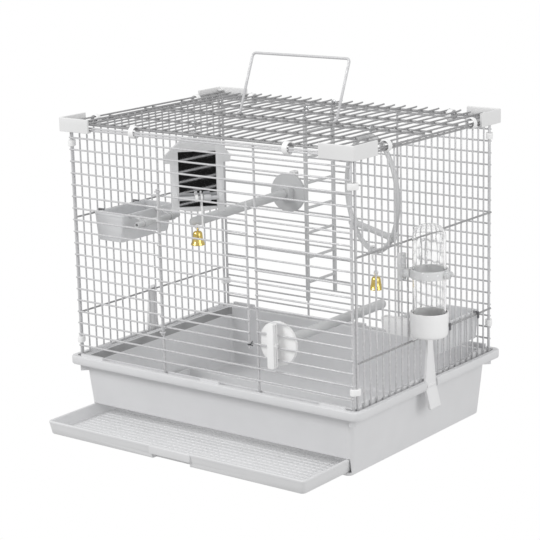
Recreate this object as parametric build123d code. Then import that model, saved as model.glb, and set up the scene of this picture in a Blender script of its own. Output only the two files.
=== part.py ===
from build123d import *
import os
import math

# Folding bird cage: welded wire panels clipped together, a plastic base with a
# slide-out tray, and the furniture that hangs on the wires.
# Frame: x to the right, y to the back, z up, origin on the floor under the
# middle of the cage.  Millimetres.

# ---------------------------------------------------------------- dimensions
cage_w = 350.0            # over the corner brackets, x
cage_d = 251.0            # over the corner brackets, y
cage_h = 310.0            # floor to the top of the brackets

rim_hx, rim_hy = 176.0, 127.0      # base rim, half sizes
rim_z0, rim_z1 = 60.6, 69.0
rim_r = 8.0
tub_hx_top, tub_hy_top = 163.0, 116.5
tub_hx_bot, tub_hy_bot = 158.4, 112.7
tub_z0 = 2.5
tub_wall = 2.3
tub_floor = 2.5
slot_hx = 157.3           # tray slot in the front wall, half width
slot_z0, slot_z1 = 5.0, 19.2

tray_hx = 156.2
tray_y0, tray_y1 = -182.0, 35.0
tray_z0, tray_z1 = 5.3, 18.8
tray_wall = 1.8
tray_draft = 2.5

wire_r = 1.0              # grille wire
edge_r = 1.3              # edge uprights
rail_r = 1.0              # top rails
foot_r = 1.2              # bottom wires, in the rim's groove
pitch_h = 11.7            # level wires of the front and back panels
z_top_h = 290.0
n_h = 19
front_y_v, front_y_h = 118.0, 119.6      # uprights inside, level wires outside
edge_x = 166.0
post_xa, post_xb = -56.0, 59.3           # uprights beside the doorway
side_x_v, side_x_h = 168.0, 169.7
side_hy = 114.5
n_side = 23
side_rungs = (112.0, 209.0)
rail_za, rail_zb = 298.6, 301.0
foot_z = 67.0
door_k0, door_k1 = 5, 14                 # level wires that the doorway breaks

roof_z_y, roof_z_x = 304.9, 303.2        # wires along y, wires along x
roof_pitch = 13.0
roof_rows = (-114.2, -108.0, -58.0, -4.0, 8.0, 54.0, 114.2)
roof_y0, roof_y1 = -114.8, 125.0

brk_z0 = 296.4
brk_leg_x, brk_leg_y = 38.0, 37.0
brk_t = 2.0
brk_w = 13.5

door_x0, door_x1 = -52.5, 53.3
door_y = -123.4
door_yh = -125.1
door_z0, door_z1 = 107.6, 250.2
door_r = 1.1
eye_z = (110.2, 247.6)

handle_r = 1.35
handle_xa, handle_xb = -55.2, 61.9
handle_len = 64.0
handle_lean = 22.7

mirror_x, mirror_y, mirror_turn = -58.5, -58.0, 43.0
ladder_wire_x = -13.0
ladder_ya, ladder_yb = 62.6, 110.4
swing_x, swing_wire_y, swing_z, swing_R = 110.5, -4.0, 242.0, 54.5
swing_turn = -30.0
swing_r = 2.4
swing_bar_z = 207.0

perch_r = 4.8
perch_len = 174.0
disc_r = 21.0
up_x, up_y, up_z, up_turn = -75.8, 113.0, 205.0, 3.64
lo_x, lo_y, lo_z = 80.5, -114.4, 117.3

cup_len, cup_w, cup_h = 77.0, 39.6, 28.5
drink_x, drink_y = 188.9, -27.5
trough_y = -26.0          # middle of the gap between two side wires
tube_R, tube_t = 15.5, 1.2
tube_z0, tube_z1 = 127.3, 225.6

latch_y = -2.0
latch_px, latch_pz = 172.9, 64.0

OUT = "parts"
os.makedirs(OUT, exist_ok=True)


# ---------------------------------------------------------------- helpers
def rod(p, q, r):
    """Straight round wire from p to q."""
    p, q = Vector(*p), Vector(*q)
    d = q - p
    return Solid.make_cylinder(r, d.length, Plane(origin=p, z_dir=d.normalized()))


def ball(p, r):
    return Pos(*p) * Sphere(r)


def box(x0, x1, y0, y1, z0, z1):
    return Pos((x0 + x1) / 2, (y0 + y1) / 2, (z0 + z1) / 2) * Box(abs(x1 - x0), abs(y1 - y0), abs(z1 - z0))


def bent(points, radii, r):
    """Bent round wire through points, with one bend radius per inner point."""
    if isinstance(radii, (int, float)):
        radii = [radii] * (len(points) - 2)
    path = FilletPolyline(*points, radius=radii)
    return sweep(Plane(origin=path @ 0, z_dir=path % 0) * Circle(r), path=path)


def fuse(items):
    items = list(items)
    return items[0].fuse(*items[1:])


def ring(center, axis, r_in, r_out, width):
    """Flat band ring."""
    pl = Plane(origin=Vector(*center) - Vector(*axis) * (width / 2), z_dir=Vector(*axis))
    a = Solid.make_cylinder(r_out, width, pl)
    b = Solid.make_cylinder(r_in, width, pl)
    return a - b


def rounded_frustum(hx0, hy0, z0, hx1, hy1, z1, r0, r1):
    a = Pos(0, 0, z0) * RectangleRounded(2 * hx0, 2 * hy0, r0)
    b = Pos(0, 0, z1) * RectangleRounded(2 * hx1, 2 * hy1, r1)
    return loft([a, b])


def mirror_x_of(shape):
    return shape.mirror(Plane.YZ)


nodes = {}


def put(name, shape):
    nodes[name] = shape


def save_all():
    for name, shape in nodes.items():
        sol = list(shape.solids()) if not isinstance(shape, (list, tuple)) else \
            [s for x in shape for s in x.solids()]
        out = sol[0] if len(sol) == 1 else Compound(children=sol)
        out.label = name
        export_step(out, OUT + "/" + name + ".step")


# ---------------------------------------------------------------- base tub
def make_tub():
    t = tub_wall
    low = rounded_frustum(tub_hx_bot, tub_hy_bot, tub_z0, tub_hx_top, tub_hy_top, 54.0, 6.2, 6.8)
    up = extrude(Pos(0, 0, 54.0) * RectangleRounded(2 * tub_hx_top, 2 * tub_hy_top, 6.8), rim_z0 - 54.0 + 1.0)
    rim = extrude(Pos(0, 0, rim_z0) * RectangleRounded(2 * rim_hx, 2 * rim_hy, rim_r), rim_z1 - rim_z0)
    rim = chamfer(rim.edges().group_by(Axis.Z)[-1], 0.7)
    body = low + up + rim
    k = (tub_z0 + tub_floor - tub_z0) / (54.0 - tub_z0)
    hx5 = tub_hx_bot + (tub_hx_top - tub_hx_bot) * k
    hy5 = tub_hy_bot + (tub_hy_top - tub_hy_bot) * k
    z5 = tub_z0 + tub_floor
    ci = rounded_frustum(hx5 - t, hy5 - t, z5, tub_hx_top - t, tub_hy_top - t, 54.0, 4.2, 4.8)
    cu = extrude(Pos(0, 0, 54.0) * RectangleRounded(2 * (tub_hx_top - t), 2 * (tub_hy_top - t), 4.8), 20.0)
    body = body - ci - cu
    # groove that holds the bottom wires of the four panels
    g_out = extrude(Pos(0, 0, 65.5) * RectangleRounded(2 * 171.2, 2 * 121.2, 4), 10)
    g_in = extrude(Pos(0, 0, 65.5) * RectangleRounded(2 * 166.3, 2 * 116.4, 3), 10)
    body = body - (g_out - g_in)
    # tray slot in the front wall
    body = body - box(-slot_hx, slot_hx, -121, -106.5, slot_z0, slot_z1)
    # feet
    feet = []
    for sx in (-1, 1):
        for sy in (-1, 1):
            feet.append(Pos(sx * 143, sy * 99, 0) * extrude(RectangleRounded(20, 16, 5), tub_z0 + 0.5))
    feet.append(extrude(RectangleRounded(36, 24, 5), tub_z0 + 0.5))
    body = body.fuse(*feet)
    # lugs under the rim
    for sx, sy in ((-1, -1), (1, 1), (1, -1), (-1, 1)):
        lug = Pos(sx * 163.3, sy * 116.8, 57.3) * Rot(0, 0, 45 * sx * sy) * Box(9.8, 6.0, 7.6)
        body = body + lug
    # raised bars that keep the bottom wires down
    keep = []
    for x0, x1 in ((-162, -133), (-8, 15), (132, 160)):
        for sy in (-1, 1):
            keep.append(box(x0, x1, sy * 121.2, sy * 124.6, 68.5, 72.0))
    for y0, y1 in ((-106, -77), (82, 106)):
        for sx in (-1, 1):
            keep.append(box(sx * 162.9, sx * 166.3, y0, y1, 68.5, 72.0))
    body = body.fuse(*keep)
    # slots in the inner ledge
    for sx in (-1, 1):
        body = body - box(sx * 161.9, sx * 165.0, -64, -22, 64.5, 70.0)
        body = body - box(sx * 161.9, sx * 165.0, 22, 70, 64.5, 70.0)
    # notches and bosses for the side latches
    for sx in (-1, 1):
        body = body - box(sx * 166.2, sx * 180, latch_y - 9.2, latch_y + 9.2, 58, 74)
        for y0, y1 in ((latch_y - 13.4, latch_y - 9.2), (latch_y + 9.2, latch_y + 13.4)):
            boss = box(sx * 171.3, sx * 173.2, y0, y1, rim_z0, 67.2) + \
                rod((sx * latch_px, y0, latch_pz), (sx * latch_px, y1, latch_pz), 3.0)
            body = body + boss
    for sx in (-1, 1):
        body = body - rod((sx * latch_px, latch_y - 14, latch_pz), (sx * latch_px, latch_y + 14, latch_pz), 1.2)
    return body


put("base_tub", make_tub())


# ---------------------------------------------------------------- slide tray
def make_tray():
    yc = (tray_y0 + tray_y1) / 2
    hy = (tray_y1 - tray_y0) / 2
    d = tray_draft
    o = rounded_frustum(tray_hx - d, hy - d, tray_z0, tray_hx, hy, tray_z1 - 2.4, 2.6, 3.0)
    i = rounded_frustum(tray_hx - d - tray_wall, hy - d - tray_wall, tray_z0 + 1.8,
                        tray_hx - tray_wall, hy - tray_wall, tray_z1 - 2.4, 1.2, 1.4)
    # rolled lip round the top
    lip_o = extrude(Pos(0, 0, tray_z1 - 2.4) * RectangleRounded(2 * tray_hx, 2 * hy, 3.0), 2.4)
    lip_i = extrude(Pos(0, 0, tray_z1 - 2.4) * RectangleRounded(2 * (tray_hx - 2.4), 2 * (hy - 2.4), 1.2), 2.4)
    b = (o - i) + (lip_o - lip_i)
    # ribs on the floor
    ribs = []
    for j in range(-13, 14):
        ribs.append(box(j * 10.5 - 0.7, j * 10.5 + 0.7, -hy + 9, hy - 9, tray_z0 + 1.4, tray_z0 + 2.5))
    b = b.fuse(*ribs)
    # finger notch and its rolled bar
    b = b + box(-23.8, 25.8, -hy + 1.4, -hy + 9.4, tray_z0 + 0.2, tray_z0 + 6.6)
    b = b - box(-22, 24, -hy - 3, -hy + 7.8, tray_z0 - 1, tray_z0 + 5.1)
    grip = box(-24, 26, -hy - 1.4, -hy + 1.9, tray_z0 + 5.3, tray_z1 - 0.1)
    b = b + fillet(grip.edges().filter_by(Axis.X).group_by(Axis.Y)[0], 1.2)
    return Pos(0, yc, 0) * b


put("slide_tray", make_tray())


# ---------------------------------------------------------------- wire panels
def front_like(doorway):
    w = []
    for sx in (-1, 1):
        w.append(rod((sx * edge_x, -front_y_v, foot_z), (sx * edge_x, -front_y_v, rail_zb + 0.6), edge_r))
    for x in (post_xa, post_xb):
        w.append(rod((x, -front_y_v, foot_z), (x, -front_y_v, rail_zb + 0.4), 1.1))
    for z, r in ((foot_z, foot_r), (rail_za, rail_r), (rail_zb, rail_r)):
        w.append(rod((-edge_x - 0.4, -front_y_h, z), (edge_x + 0.4, -front_y_h, z), r))
    for k in range(n_h):
        z = z_top_h - pitch_h * k
        if doorway and door_k0 <= k <= door_k1:
            w.append(rod((-edge_x - 0.4, -front_y_h, z), (post_xa - 0.1, -front_y_h, z), wire_r))
            w.append(rod((post_xb + 0.1, -front_y_h, z), (edge_x + 0.4, -front_y_h, z), wire_r))
        else:
            w.append(rod((-edge_x - 0.4, -front_y_h, z), (edge_x + 0.4, -front_y_h, z), wire_r))
    if doorway:
        # eyelets that carry the door's hinge upright
        for z in eye_z:
            eye = Pos(door_x0, door_y, z) * Torus(2.3, 0.8)
            stem = rod((door_x0 + 0.4, door_y + 2.1, z), (post_xa, -front_y_v, z), 0.8)
            w += [eye.solids()[0], stem]
    return fuse(w)


put("front_panel", front_like(True))
put("back_panel", front_like(False).mirror(Plane.XZ))


def side_panel():
    w = []
    step = 2 * side_hy / (n_side - 1)
    for i in range(n_side):
        y = -side_hy + i * step
        r = edge_r if i in (0, n_side - 1) else 0.95
        w.append(rod((side_x_v, y, foot_z), (side_x_v, y, rail_zb + 0.4), r))
    for z, r in ((foot_z, foot_r), (side_rungs[0], wire_r), (side_rungs[1], wire_r),
                 (rail_za, rail_r), (rail_zb, rail_r)):
        w.append(rod((side_x_h, -side_hy - 0.4, z), (side_x_h, side_hy + 0.4, z), r))
    return fuse(w)


rp = side_panel()
put("right_panel", rp)
put("left_panel", mirror_x_of(rp))


def roof_panel():
    w = []
    for k in range(-13, 14):
        x = roof_pitch * k
        y1 = roof_y1 if abs(x) < cage_w / 2 - brk_leg_x - 1.5 else cage_d / 2 - brk_t - 0.2
        w.append(rod((x, roof_y0, roof_z_y), (x, y1, roof_z_y), wire_r))
    for y in roof_rows:
        w.append(rod((-169.6, y, roof_z_x), (169.6, y, roof_z_x), 1.1))
    return fuse(w)


put("top_panel", roof_panel())


# ---------------------------------------------------------------- clips
clip_top_c = (116.9, 300.9)        # |y|, z of the front and back rings
clip_side_c = (169.35, 301.75)     # |x|, z of the side rings
side_step = 2 * side_hy / (n_side - 1)
clips = []
for x in (-84.5, 97.5):
    clips.append(ring((x, -clip_top_c[0], clip_top_c[1]), (1, 0, 0), 4.8, 6.3, 8.0))
for x in (-123.5, 123.5):
    clips.append(ring((x, clip_top_c[0], clip_top_c[1]), (1, 0, 0), 4.8, 6.3, 8.0))
for sx, i in ((-1, 3), (-1, 18), (1, 4), (1, 18)):
    y = -side_hy + side_step * (i + 0.5)
    clips.append(ring((sx * clip_side_c[0], y, clip_side_c[1]), (0, 1, 0), 4.35, 5.6, 7.0))
put("ring_clips", clips)


def corner_clip(sx, sy, z):
    a = (sx * edge_x, sy * front_y_v)
    b = (sx * side_x_v, sy * side_hy)
    h = 6.0
    o = Pos(a[0], a[1], z) * Cylinder(3.3, h)
    o2 = Pos(b[0], b[1], z) * Cylinder(3.3, h)
    d = math.hypot(b[0] - a[0], b[1] - a[1])
    ang = math.degrees(math.atan2(b[1] - a[1], b[0] - a[0]))
    m = Pos((a[0] + b[0]) / 2, (a[1] + b[1]) / 2, z) * Rot(0, 0, ang) * Box(d, 6.6, h)
    c = o + o2 + m
    c = c - rod((a[0], a[1], z - 9), (a[0], a[1], z + 9), edge_r)
    c = c - rod((b[0], b[1], z - 9), (b[0], b[1], z + 9), edge_r)
    return c


cc = []
for sx, sy, z in ((-1, -1, 284.15), (-1, -1, 85.25), (1, -1, 272.45), (1, -1, 85.25),
                  (1, 1, 284.15), (1, 1, 96.95), (-1, 1, 284.15), (-1, 1, 96.95)):
    cc.append(corner_clip(sx, sy, z))
put("corner_clips", cc)


# ---------------------------------------------------------------- brackets
def bracket():
    hx, hy = cage_w / 2, cage_d / 2
    # plan of the L, corner at (-hx, -hy)
    L = box(-hx, -hx + brk_leg_x, -hy, -hy + brk_w, brk_z0, cage_h) + \
        box(-hx, -hx + brk_w, -hy, -hy + brk_leg_y, brk_z0, cage_h)
    vert = L.edges().filter_by(Axis.Z)
    corner = vert.sort_by(lambda e: e.center().X + e.center().Y)[0]
    L = fillet(corner, 1.6)
    inner = box(-hx + brk_t, -hx + brk_leg_x + 1, -hy + brk_t, -hy + brk_w + 1, brk_z0 - 1, cage_h + 1) + \
        box(-hx + brk_t, -hx + brk_w + 1, -hy + brk_t, -hy + brk_leg_y + 1, brk_z0 - 1, cage_h + 1)
    L = L - inner
    # small web over the roof wires, inside the corner
    L = L + box(-hx + 1.0, -hx + 7.5, -hy + 1.0, -hy + 7.5, 306.4, 307.8)
    # snap lips under the top rails
    L = L + box(-hx + 1.0, -hx + 5.4, -hy + 14, -hy + brk_leg_y, brk_z0, brk_z0 + 1.0)
    L = L + box(-hx + 14, -hx + brk_leg_x, -hy + 1.0, -hy + 5.9, brk_z0, brk_z0 + 1.0)
    return L


b0 = bracket()
put("bracket_front_left", b0)
put("bracket_front_right", b0.mirror(Plane.YZ))
put("bracket_rear_left", b0.mirror(Plane.XZ))
put("bracket_rear_right", b0.mirror(Plane.YZ).mirror(Plane.XZ))


# ---------------------------------------------------------------- front door
def make_door():
    w = [rod((door_x0, door_y, door_z0), (door_x0, door_y, door_z1), door_r),
         rod((door_x1, door_y, 110.4), (door_x1, door_y, 249.4), door_r)]
    for k in range(door_k0, door_k1 + 1):
        z = z_top_h - pitch_h * k
        w.append(rod((door_x0 - 0.5, door_yh, z), (door_x1 + 0.5, door_yh, z), wire_r))
    # upset ends that keep the hinge upright in its eyelets
    w.append((Pos(door_x0, door_y, door_z1 - 0.6) * Cylinder(1.75, 1.4)).solids()[0])
    w.append((Pos(door_x0, door_y, door_z0 + 0.4) * Cylinder(1.75, 1.4)).solids()[0])
    return fuse(w)


put("front_door", make_door())


def make_door_hook():
    zc = z_top_h - pitch_h * 15
    b = box(door_x1 - 1.7, door_x1 + 1.7, door_y - 1.6, -121.2, zc - 3.2, zc + 3.2)
    b = b + box(door_x1 - 0.9, door_x1 + 0.9, -121.4, -118.7, zc + 1.25, zc + 2.4)
    b = b + box(door_x1 - 0.9, door_x1 + 0.9, -121.4, -118.7, zc - 2.4, zc - 1.25)
    b = b - rod((door_x1, door_y, zc - 5), (door_x1, door_y, zc + 5), door_r)
    return b


put("door_hook", make_door_hook())


# ---------------------------------------------------------------- carry handle
def make_handle():
    ay, az = 8.0, roof_z_x
    t = math.radians(handle_lean)
    R = 1.1 + 0.35 + handle_r
    up = Vector(0, math.sin(t), math.cos(t))

    def pt(x, s):
        return (x, ay + up.Y * s, az + up.Z * s)

    bail = bent([pt(handle_xa, R - 0.2), pt(handle_xa, handle_len), pt(handle_xb, handle_len), pt(handle_xb, R - 0.2)],
                3.8, handle_r)
    eyes = [Pos(x, ay, az) * Rot(0, 90, 0) * Torus(R, handle_r) for x in (handle_xa, handle_xb)]
    return fuse([bail.solids()[0]] + [e.solids()[0] for e in eyes])


put("carry_handle", make_handle())


# ---------------------------------------------------------------- side latches
def make_latch():
    prof = [(171.15, 113.2), (169.25, 113.25), (169.2, 114.6), (171.6, 116.0), (173.6, 115.2),
            (173.9, 95.0), (174.15, 67.0), (174.9, 61.0), (179.6, 42.8), (178.9, 41.4), (177.1, 42.0),
            (172.4, 59.6), (171.65, 64.0), (171.55, 75.0), (171.3, 95.0)]
    w = Wire.make_polygon([Vector(x, 0, z) for x, z in prof], close=True)
    sheet = Face(w)
    body = extrude(sheet, 9.0, dir=(0, 1, 0)) + extrude(sheet, 9.0, dir=(0, -1, 0))
    hub = rod((latch_px, -7.2, latch_pz), (latch_px, 7.2, latch_pz), 2.6)
    body = body + hub
    # plan taper: narrow at the top, wide at the finger end
    left = Wire.make_polygon([Vector(0, -4.5, 117), Vector(0, -5.4, 90), Vector(0, -7.2, 66), Vector(0, -8.4, 56),
                              Vector(0, -8.4, 43.5), Vector(0, -6.4, 41), Vector(0, 6.4, 41), Vector(0, 8.4, 43.5),
                              Vector(0, 8.4, 56), Vector(0, 7.2, 66), Vector(0, 5.4, 90), Vector(0, 4.5, 117)],
                             close=True)
    mask = extrude(Face(left), 200, dir=(1, 0, 0))
    body = body & mask
    body = body - rod((latch_px, -12, latch_pz), (latch_px, 12, latch_pz), 1.25)
    return Pos(0, latch_y, 0) * body


la = make_latch()
put("latch_right", la)
put("latch_left", mirror_x_of(la))
pin = rod((latch_px, latch_y - 13.4, latch_pz), (latch_px, latch_y + 13.4, latch_pz), 1.2)
put("latch_pins", [pin, mirror_x_of(pin)])


# ---------------------------------------------------------------- bells
def bell(cx, cy, z_top, h, r):
    """Open bell: crown loop, domed shell with a flared lip."""
    zs = z_top - 3.6
    pts_o = [(0.0, zs), (r * 0.34, zs - 0.3), (r * 0.50, zs - h * 0.14), (r * 0.58, zs - h * 0.38),
             (r * 0.74, zs - h * 0.58), (r, zs - h + 3.6 + 0.8), (r, zs - h + 3.6)]
    pts_i = [(r - 0.9, zs - h + 3.6), (r * 0.74 - 0.9, zs - h * 0.58), (r * 0.58 - 0.8, zs - h * 0.38),
             (r * 0.50 - 0.8, zs - h * 0.17), (0.0, zs - 1.2)]
    poly = Polyline(*[(a, 0, b) for a, b in pts_o + pts_i], close=True)
    f = Face(Wire(poly.edges()))
    shell = revolve(f, Axis.Z, 360)
    loop = Pos(0, 0, zs + 1.7) * Rot(90, 0, 0) * Torus(1.55, 0.55)
    return Pos(cx, cy, 0) * (shell.solids()[0].fuse(loop.solids()[0]))


def clapper(cx, cy, z_top, h, r):
    zs = z_top - 3.6
    s = rod((0, 0, zs - 1.6), (0, 0, zs - h * 0.62), 0.45)
    b = Pos(0, 0, zs - h * 0.66) * Sphere(1.7)
    return Pos(cx, cy, 0) * s.fuse(b.solids()[0])


# ---------------------------------------------------------------- mirror
mirror_loc = Pos(mirror_x, mirror_y, 0) * Rot(0, 0, mirror_turn)
MZ = 0.0


def make_mirror():
    t = 2.4
    out = [(-24.8, 216), (-18.6, 216), (-18.6, 219.5), (-10, 217.4), (0, 216.8), (10, 217.4), (20.0, 219.5), (20.0, 216),
           (26.4, 216), (26.4, 264.9), (33.2, 265.2), (33.8, 271.4), (20.5, 289.0), (-13.5, 289.0), (-30.3, 272.9),
           (-30.5, 265.2), (-24.8, 265.0)]
    w = Wire.make_polygon([Vector(u, 0, z + MZ) for u, z in out], close=True)
    plate = extrude(Face(w), t, dir=(0, 1, 0)) + extrude(Face(w), t, dir=(0, -1, 0))
    win = box(-17.6, 19.4, -4, 4, 221.4 + MZ, 276.3 + MZ)
    plate = plate - win
    # backing that holds the glass
    plate = plate + box(-19, 21, 0.9, t, 220.0 + MZ, 277.8 + MZ)
    # bridge over the roof, bored for the hanging pin
    br = box(-6.5, 6.5, -2.4, 2.4, 286.0 + MZ, 295.4 + MZ)
    br = br - box(-3.2, 3.2, -4, 4, 288.0 + MZ, 292.2 + MZ)
    plate = plate + br - rod((0, 0, 290 + MZ), (0, 0, 300 + MZ), 1.15)
    # sockets for the front bar
    for u in (-21.6, 23.0):
        plate = plate + box(u - 2.2, u + 2.2, -11.6, -1.0, 228.4 + MZ, 234.4 + MZ)
    return mirror_loc * plate


put("mirror_frame", make_mirror())
put("mirror_glass", mirror_loc * box(-17.5, 19.3, -0.7, 0.9, 221.5 + MZ, 276.2 + MZ))
bar_w, bar_z = -9.0, 231.4 + MZ
put("mirror_bar", mirror_loc * rod((-19.4, bar_w, bar_z), (20.8, bar_w, bar_z), 2.0))
mk = (mirror_loc * Pos(-1.0, bar_w, bar_z)) * Rot(0, 90, 0)
put("mirror_bar_ring", mk * (Cylinder(4.6, 3.6) - Cylinder(2.05, 6)))
put("mirror_bar_knob", (mirror_loc * Pos(9.5, bar_w, bar_z)) * Rot(0, 90, 0) * (Cylinder(3.6, 7.0) - Cylinder(2.05, 9)))

# hanging pin: over the roof wire, down into the bridge, with a head
hook = bent([(mirror_x, mirror_y, 289.0 + MZ + 1.2), (mirror_x, mirror_y, 297.8), (mirror_x, mirror_y + 2.35, 300.4),
             (mirror_x, mirror_y + 2.35, roof_z_x + 2.36), (mirror_x, mirror_y - 2.35, roof_z_x + 2.36),
             (mirror_x, mirror_y - 2.35, 301.0)], [1.2, 1.2, 2.34, 2.34], 0.9)
head = Pos(mirror_x, mirror_y, 289.6 + MZ + 0.6) * Cylinder(1.9, 1.4)
put("mirror_hook", hook.solids()[0].fuse(head.solids()[0]))

# hook and bell under the bar
mb_u, mb_z = 4.0, bar_z
eye_mz = 202.9                  # ring at the end of the J-hook
mb = mirror_loc * Pos(mb_u, bar_w, 0)
mbp = (mb * Pos(0, 0, 0)).position
s_r = 0.9
R1 = 2.0 + 0.35 + s_r


def loc_pts(loc, pts):
    res = []
    for p in pts:
        v = (loc * Pos(*p)).position
        res.append((v.X, v.Y, v.Z))
    return res


hook_pts = loc_pts(mb, [(0, -R1, mb_z - 2.0), (0, -R1, mb_z + R1), (0, R1, mb_z + R1), (0, R1, mb_z - 6.5),
                        (0, 0, mb_z - 11.5), (0, 0, eye_mz), (-3.7, 0, eye_mz)])
bh = bent(hook_pts, [R1 - 0.02, R1 - 0.02, 2.5, 2.5, 2.4], s_r)
eye_m = mb * Pos(-5.2, 0, eye_mz) * Rot(90, 0, 0) * Torus(2.0, 0.7)
put("mirror_bell_hook", bh.solids()[0].fuse(eye_m.solids()[0]))
mbq = (mb * Pos(-5.2, 0, 0)).position
put("mirror_bell", Pos(mbq.X, mbq.Y, 0) * Rot(0, 0, mirror_turn + 90) * bell(0, 0, eye_mz - 0.3, 17.3, 7.0))
put("mirror_bell_clapper", clapper(mbq.X, mbq.Y, eye_mz - 0.3, 17.3, 7.0))


# ---------------------------------------------------------------- swing
swing_loc = Pos(swing_x, swing_wire_y, 0) * Rot(0, 0, swing_turn)


def make_swing():
    tor = Pos(0, 0, swing_z) * Rot(90, 0, 0) * Torus(swing_R, swing_r)
    boss_b = Pos(0, 0, swing_z - swing_R) * Cylinder(2.9, 5.6)
    boss_t = Pos(0, 0, swing_z + swing_R - 1.2) * Cylinder(2.9, 4.4)
    b = tor.solids()[0].fuse(boss_b.solids()[0], boss_t.solids()[0])
    hl = math.sqrt(swing_R ** 2 - (swing_z - swing_bar_z) ** 2)
    for s in (-1, 1):
        b = b.fuse((Pos(s * (hl - 0.6), 0, swing_bar_z) * Rot(0, 90, 0) * Cylinder(4.4, 5.0)).solids()[0])
    b = b - rod((0, 0, swing_z + swing_R - 6), (0, 0, swing_z + swing_R + 3), 0.9)
    b = b - rod((0, 0, swing_z - swing_R - 6), (0, 0, swing_z - swing_R + 6), 0.9)
    b = b - rod((-hl - 0.2, 0, swing_bar_z), (hl + 0.2, 0, swing_bar_z), 3.0)
    return swing_loc * b, hl


sw, swing_hl = make_swing()
put("swing_ring", sw)
put("swing_perch", swing_loc * rod((-swing_hl + 0.0, 0, swing_bar_z), (swing_hl - 0.0, 0, swing_bar_z), 3.0))
# hanging hook: a closed eye round the middle roof wire on a short shank
Rh = 1.1 + 0.35 + 0.9
top_z = swing_z + swing_R
eye_s = Pos(swing_x, swing_wire_y, roof_z_x) * Rot(0, 90, 0) * Torus(Rh, 0.9)
shank = rod((swing_x, swing_wire_y, top_z - 3.4), (swing_x, swing_wire_y, roof_z_x - Rh + 0.2), 0.9)
put("swing_hook", shank.fuse(eye_s.solids()[0]))
# bell hook through the bottom boss
sb_top = swing_z - swing_R
sbx = swing_x + 3.8              # the bell hangs off the hook's bent leg
bhk = bent([(swing_x, swing_wire_y, sb_top + 4.0), (swing_x, swing_wire_y, sb_top - 9.0), (sbx, swing_wire_y, sb_top - 14.0),
            (sbx, swing_wire_y, sb_top - 19.8)], [2.5, 2.5], 0.9).solids()[0]
head_s = Pos(swing_x, swing_wire_y, sb_top + 3.6) * Cylinder(2.0, 1.4)
eye_b = Pos(sbx, swing_wire_y, sb_top - 21.7) * Rot(90, 0, 0) * Torus(2.0, 0.7)
put("swing_bell_hook", bhk.fuse(head_s.solids()[0], eye_b.solids()[0]))
put("swing_bell", Pos(sbx, swing_wire_y, 0) * Rot(0, 0, 90) * bell(0, 0, sb_top - 22.0, 16.0, 6.8))
put("swing_bell_clapper", clapper(sbx, swing_wire_y, sb_top - 22.0, 16.0, 6.8))


# ---------------------------------------------------------------- ladder
def make_ladder():
    xr = ladder_wire_x - 2.25
    w = []
    for y in (ladder_ya, ladder_yb):
        w.append(box(xr - 1.5, xr + 1.5, y - 2.0, y + 2.0, 106, 296.5).solids()[0])
    for k in range(7):
        z = 280.6 - 25.9 * k
        w.append(rod((xr, ladder_ya, z), (xr, ladder_yb, z), 1.45))
    b = fuse(w)
    for y in (ladder_ya, ladder_yb):
        b = b - rod((xr, y, 288), (xr, y, 299), 0.9)
    return b


put("ladder", make_ladder())
lad = []
for y in (ladder_ya, ladder_yb):
    Rl = 2.25
    lad.append(bent([(ladder_wire_x - Rl, y, 288.2), (ladder_wire_x - Rl, y, roof_z_y + Rl),
                     (ladder_wire_x + Rl, y, roof_z_y + Rl), (ladder_wire_x + Rl, y, roof_z_y - 3.0)],
                    Rl - 0.02, 0.9))
put("ladder_hooks", lad)


# ---------------------------------------------------------------- perches
def perch_rod():
    """Rod along -y from the origin (its disc's middle), with a stud the other way."""
    d = rod((0, -1.6, 0), (0, -perch_len + perch_r, 0), perch_r)
    e = Pos(0, -perch_len + perch_r, 0) * Sphere(perch_r)
    return d.fuse(e.solids()[0])


def perch_disc():
    d = Solid.make_cylinder(disc_r, 4.0, Plane(origin=(0, -2.0, 0), z_dir=(0, 1, 0)))
    d = fillet(d.edges(), 0.9)
    c = fillet(box(-7.4, 7.4, -10.2, -1.9, -7.6, 7.6).edges().filter_by(Axis.Y), 2.2)
    b = d.fuse(c)
    b = b - rod((0, -1.6, 0), (0, -14, 0), perch_r)
    stud = rod((0, 1.0, 0), (0, 11.6, 0), 1.6)
    b = b.fuse(stud)
    return b


def perch_clamp():
    """Ribbed bar behind the wires; its near face is at y = 0, depth along +y."""
    b = box(-3.6, 3.6, 0, 6.8, -21.5, 21.5)
    b = fillet(b.edges().filter_by(Axis.Y), 1.6)
    for s in (-1, 1):
        b = b - box(s * 1.6, s * 4.0, 1.5, 3.1, -19.6, 19.6) - box(s * 1.6, s * 4.0, 4.0, 5.2, -19.6, 19.6)
    b = b + Pos(0, 3.4, 0) * Rot(90, 0, 0) * Cylinder(3.2, 6.8)
    b = b - rod((0, -1, 0), (0, 9, 0), 1.72)
    return b


lo = Pos(up_x, up_y, up_z) * Rot(0, 0, up_turn)
put("perch_upper_rod", lo * perch_rod())
put("perch_upper_disc", lo * perch_disc())
cl_x = up_x - math.sin(math.radians(up_turn)) * 11.0
clu = perch_clamp().solids()[0]
put("perch_upper_clamp", (Pos(up_x - math.tan(math.radians(up_turn)) * 8.0, 120.9, up_z) * clu)
    - (lo * rod((0, 0, 0), (0, 22, 0), 1.75)))
ll = Pos(lo_x, lo_y, lo_z) * Rot(0, 0, 180)
put("perch_lower_rod", ll * perch_rod())
put("perch_lower_disc", ll * perch_disc())
put("perch_lower_clamp", Pos(lo_x, -120.9, lo_z) * Rot(0, 0, 180) * clu)


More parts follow.
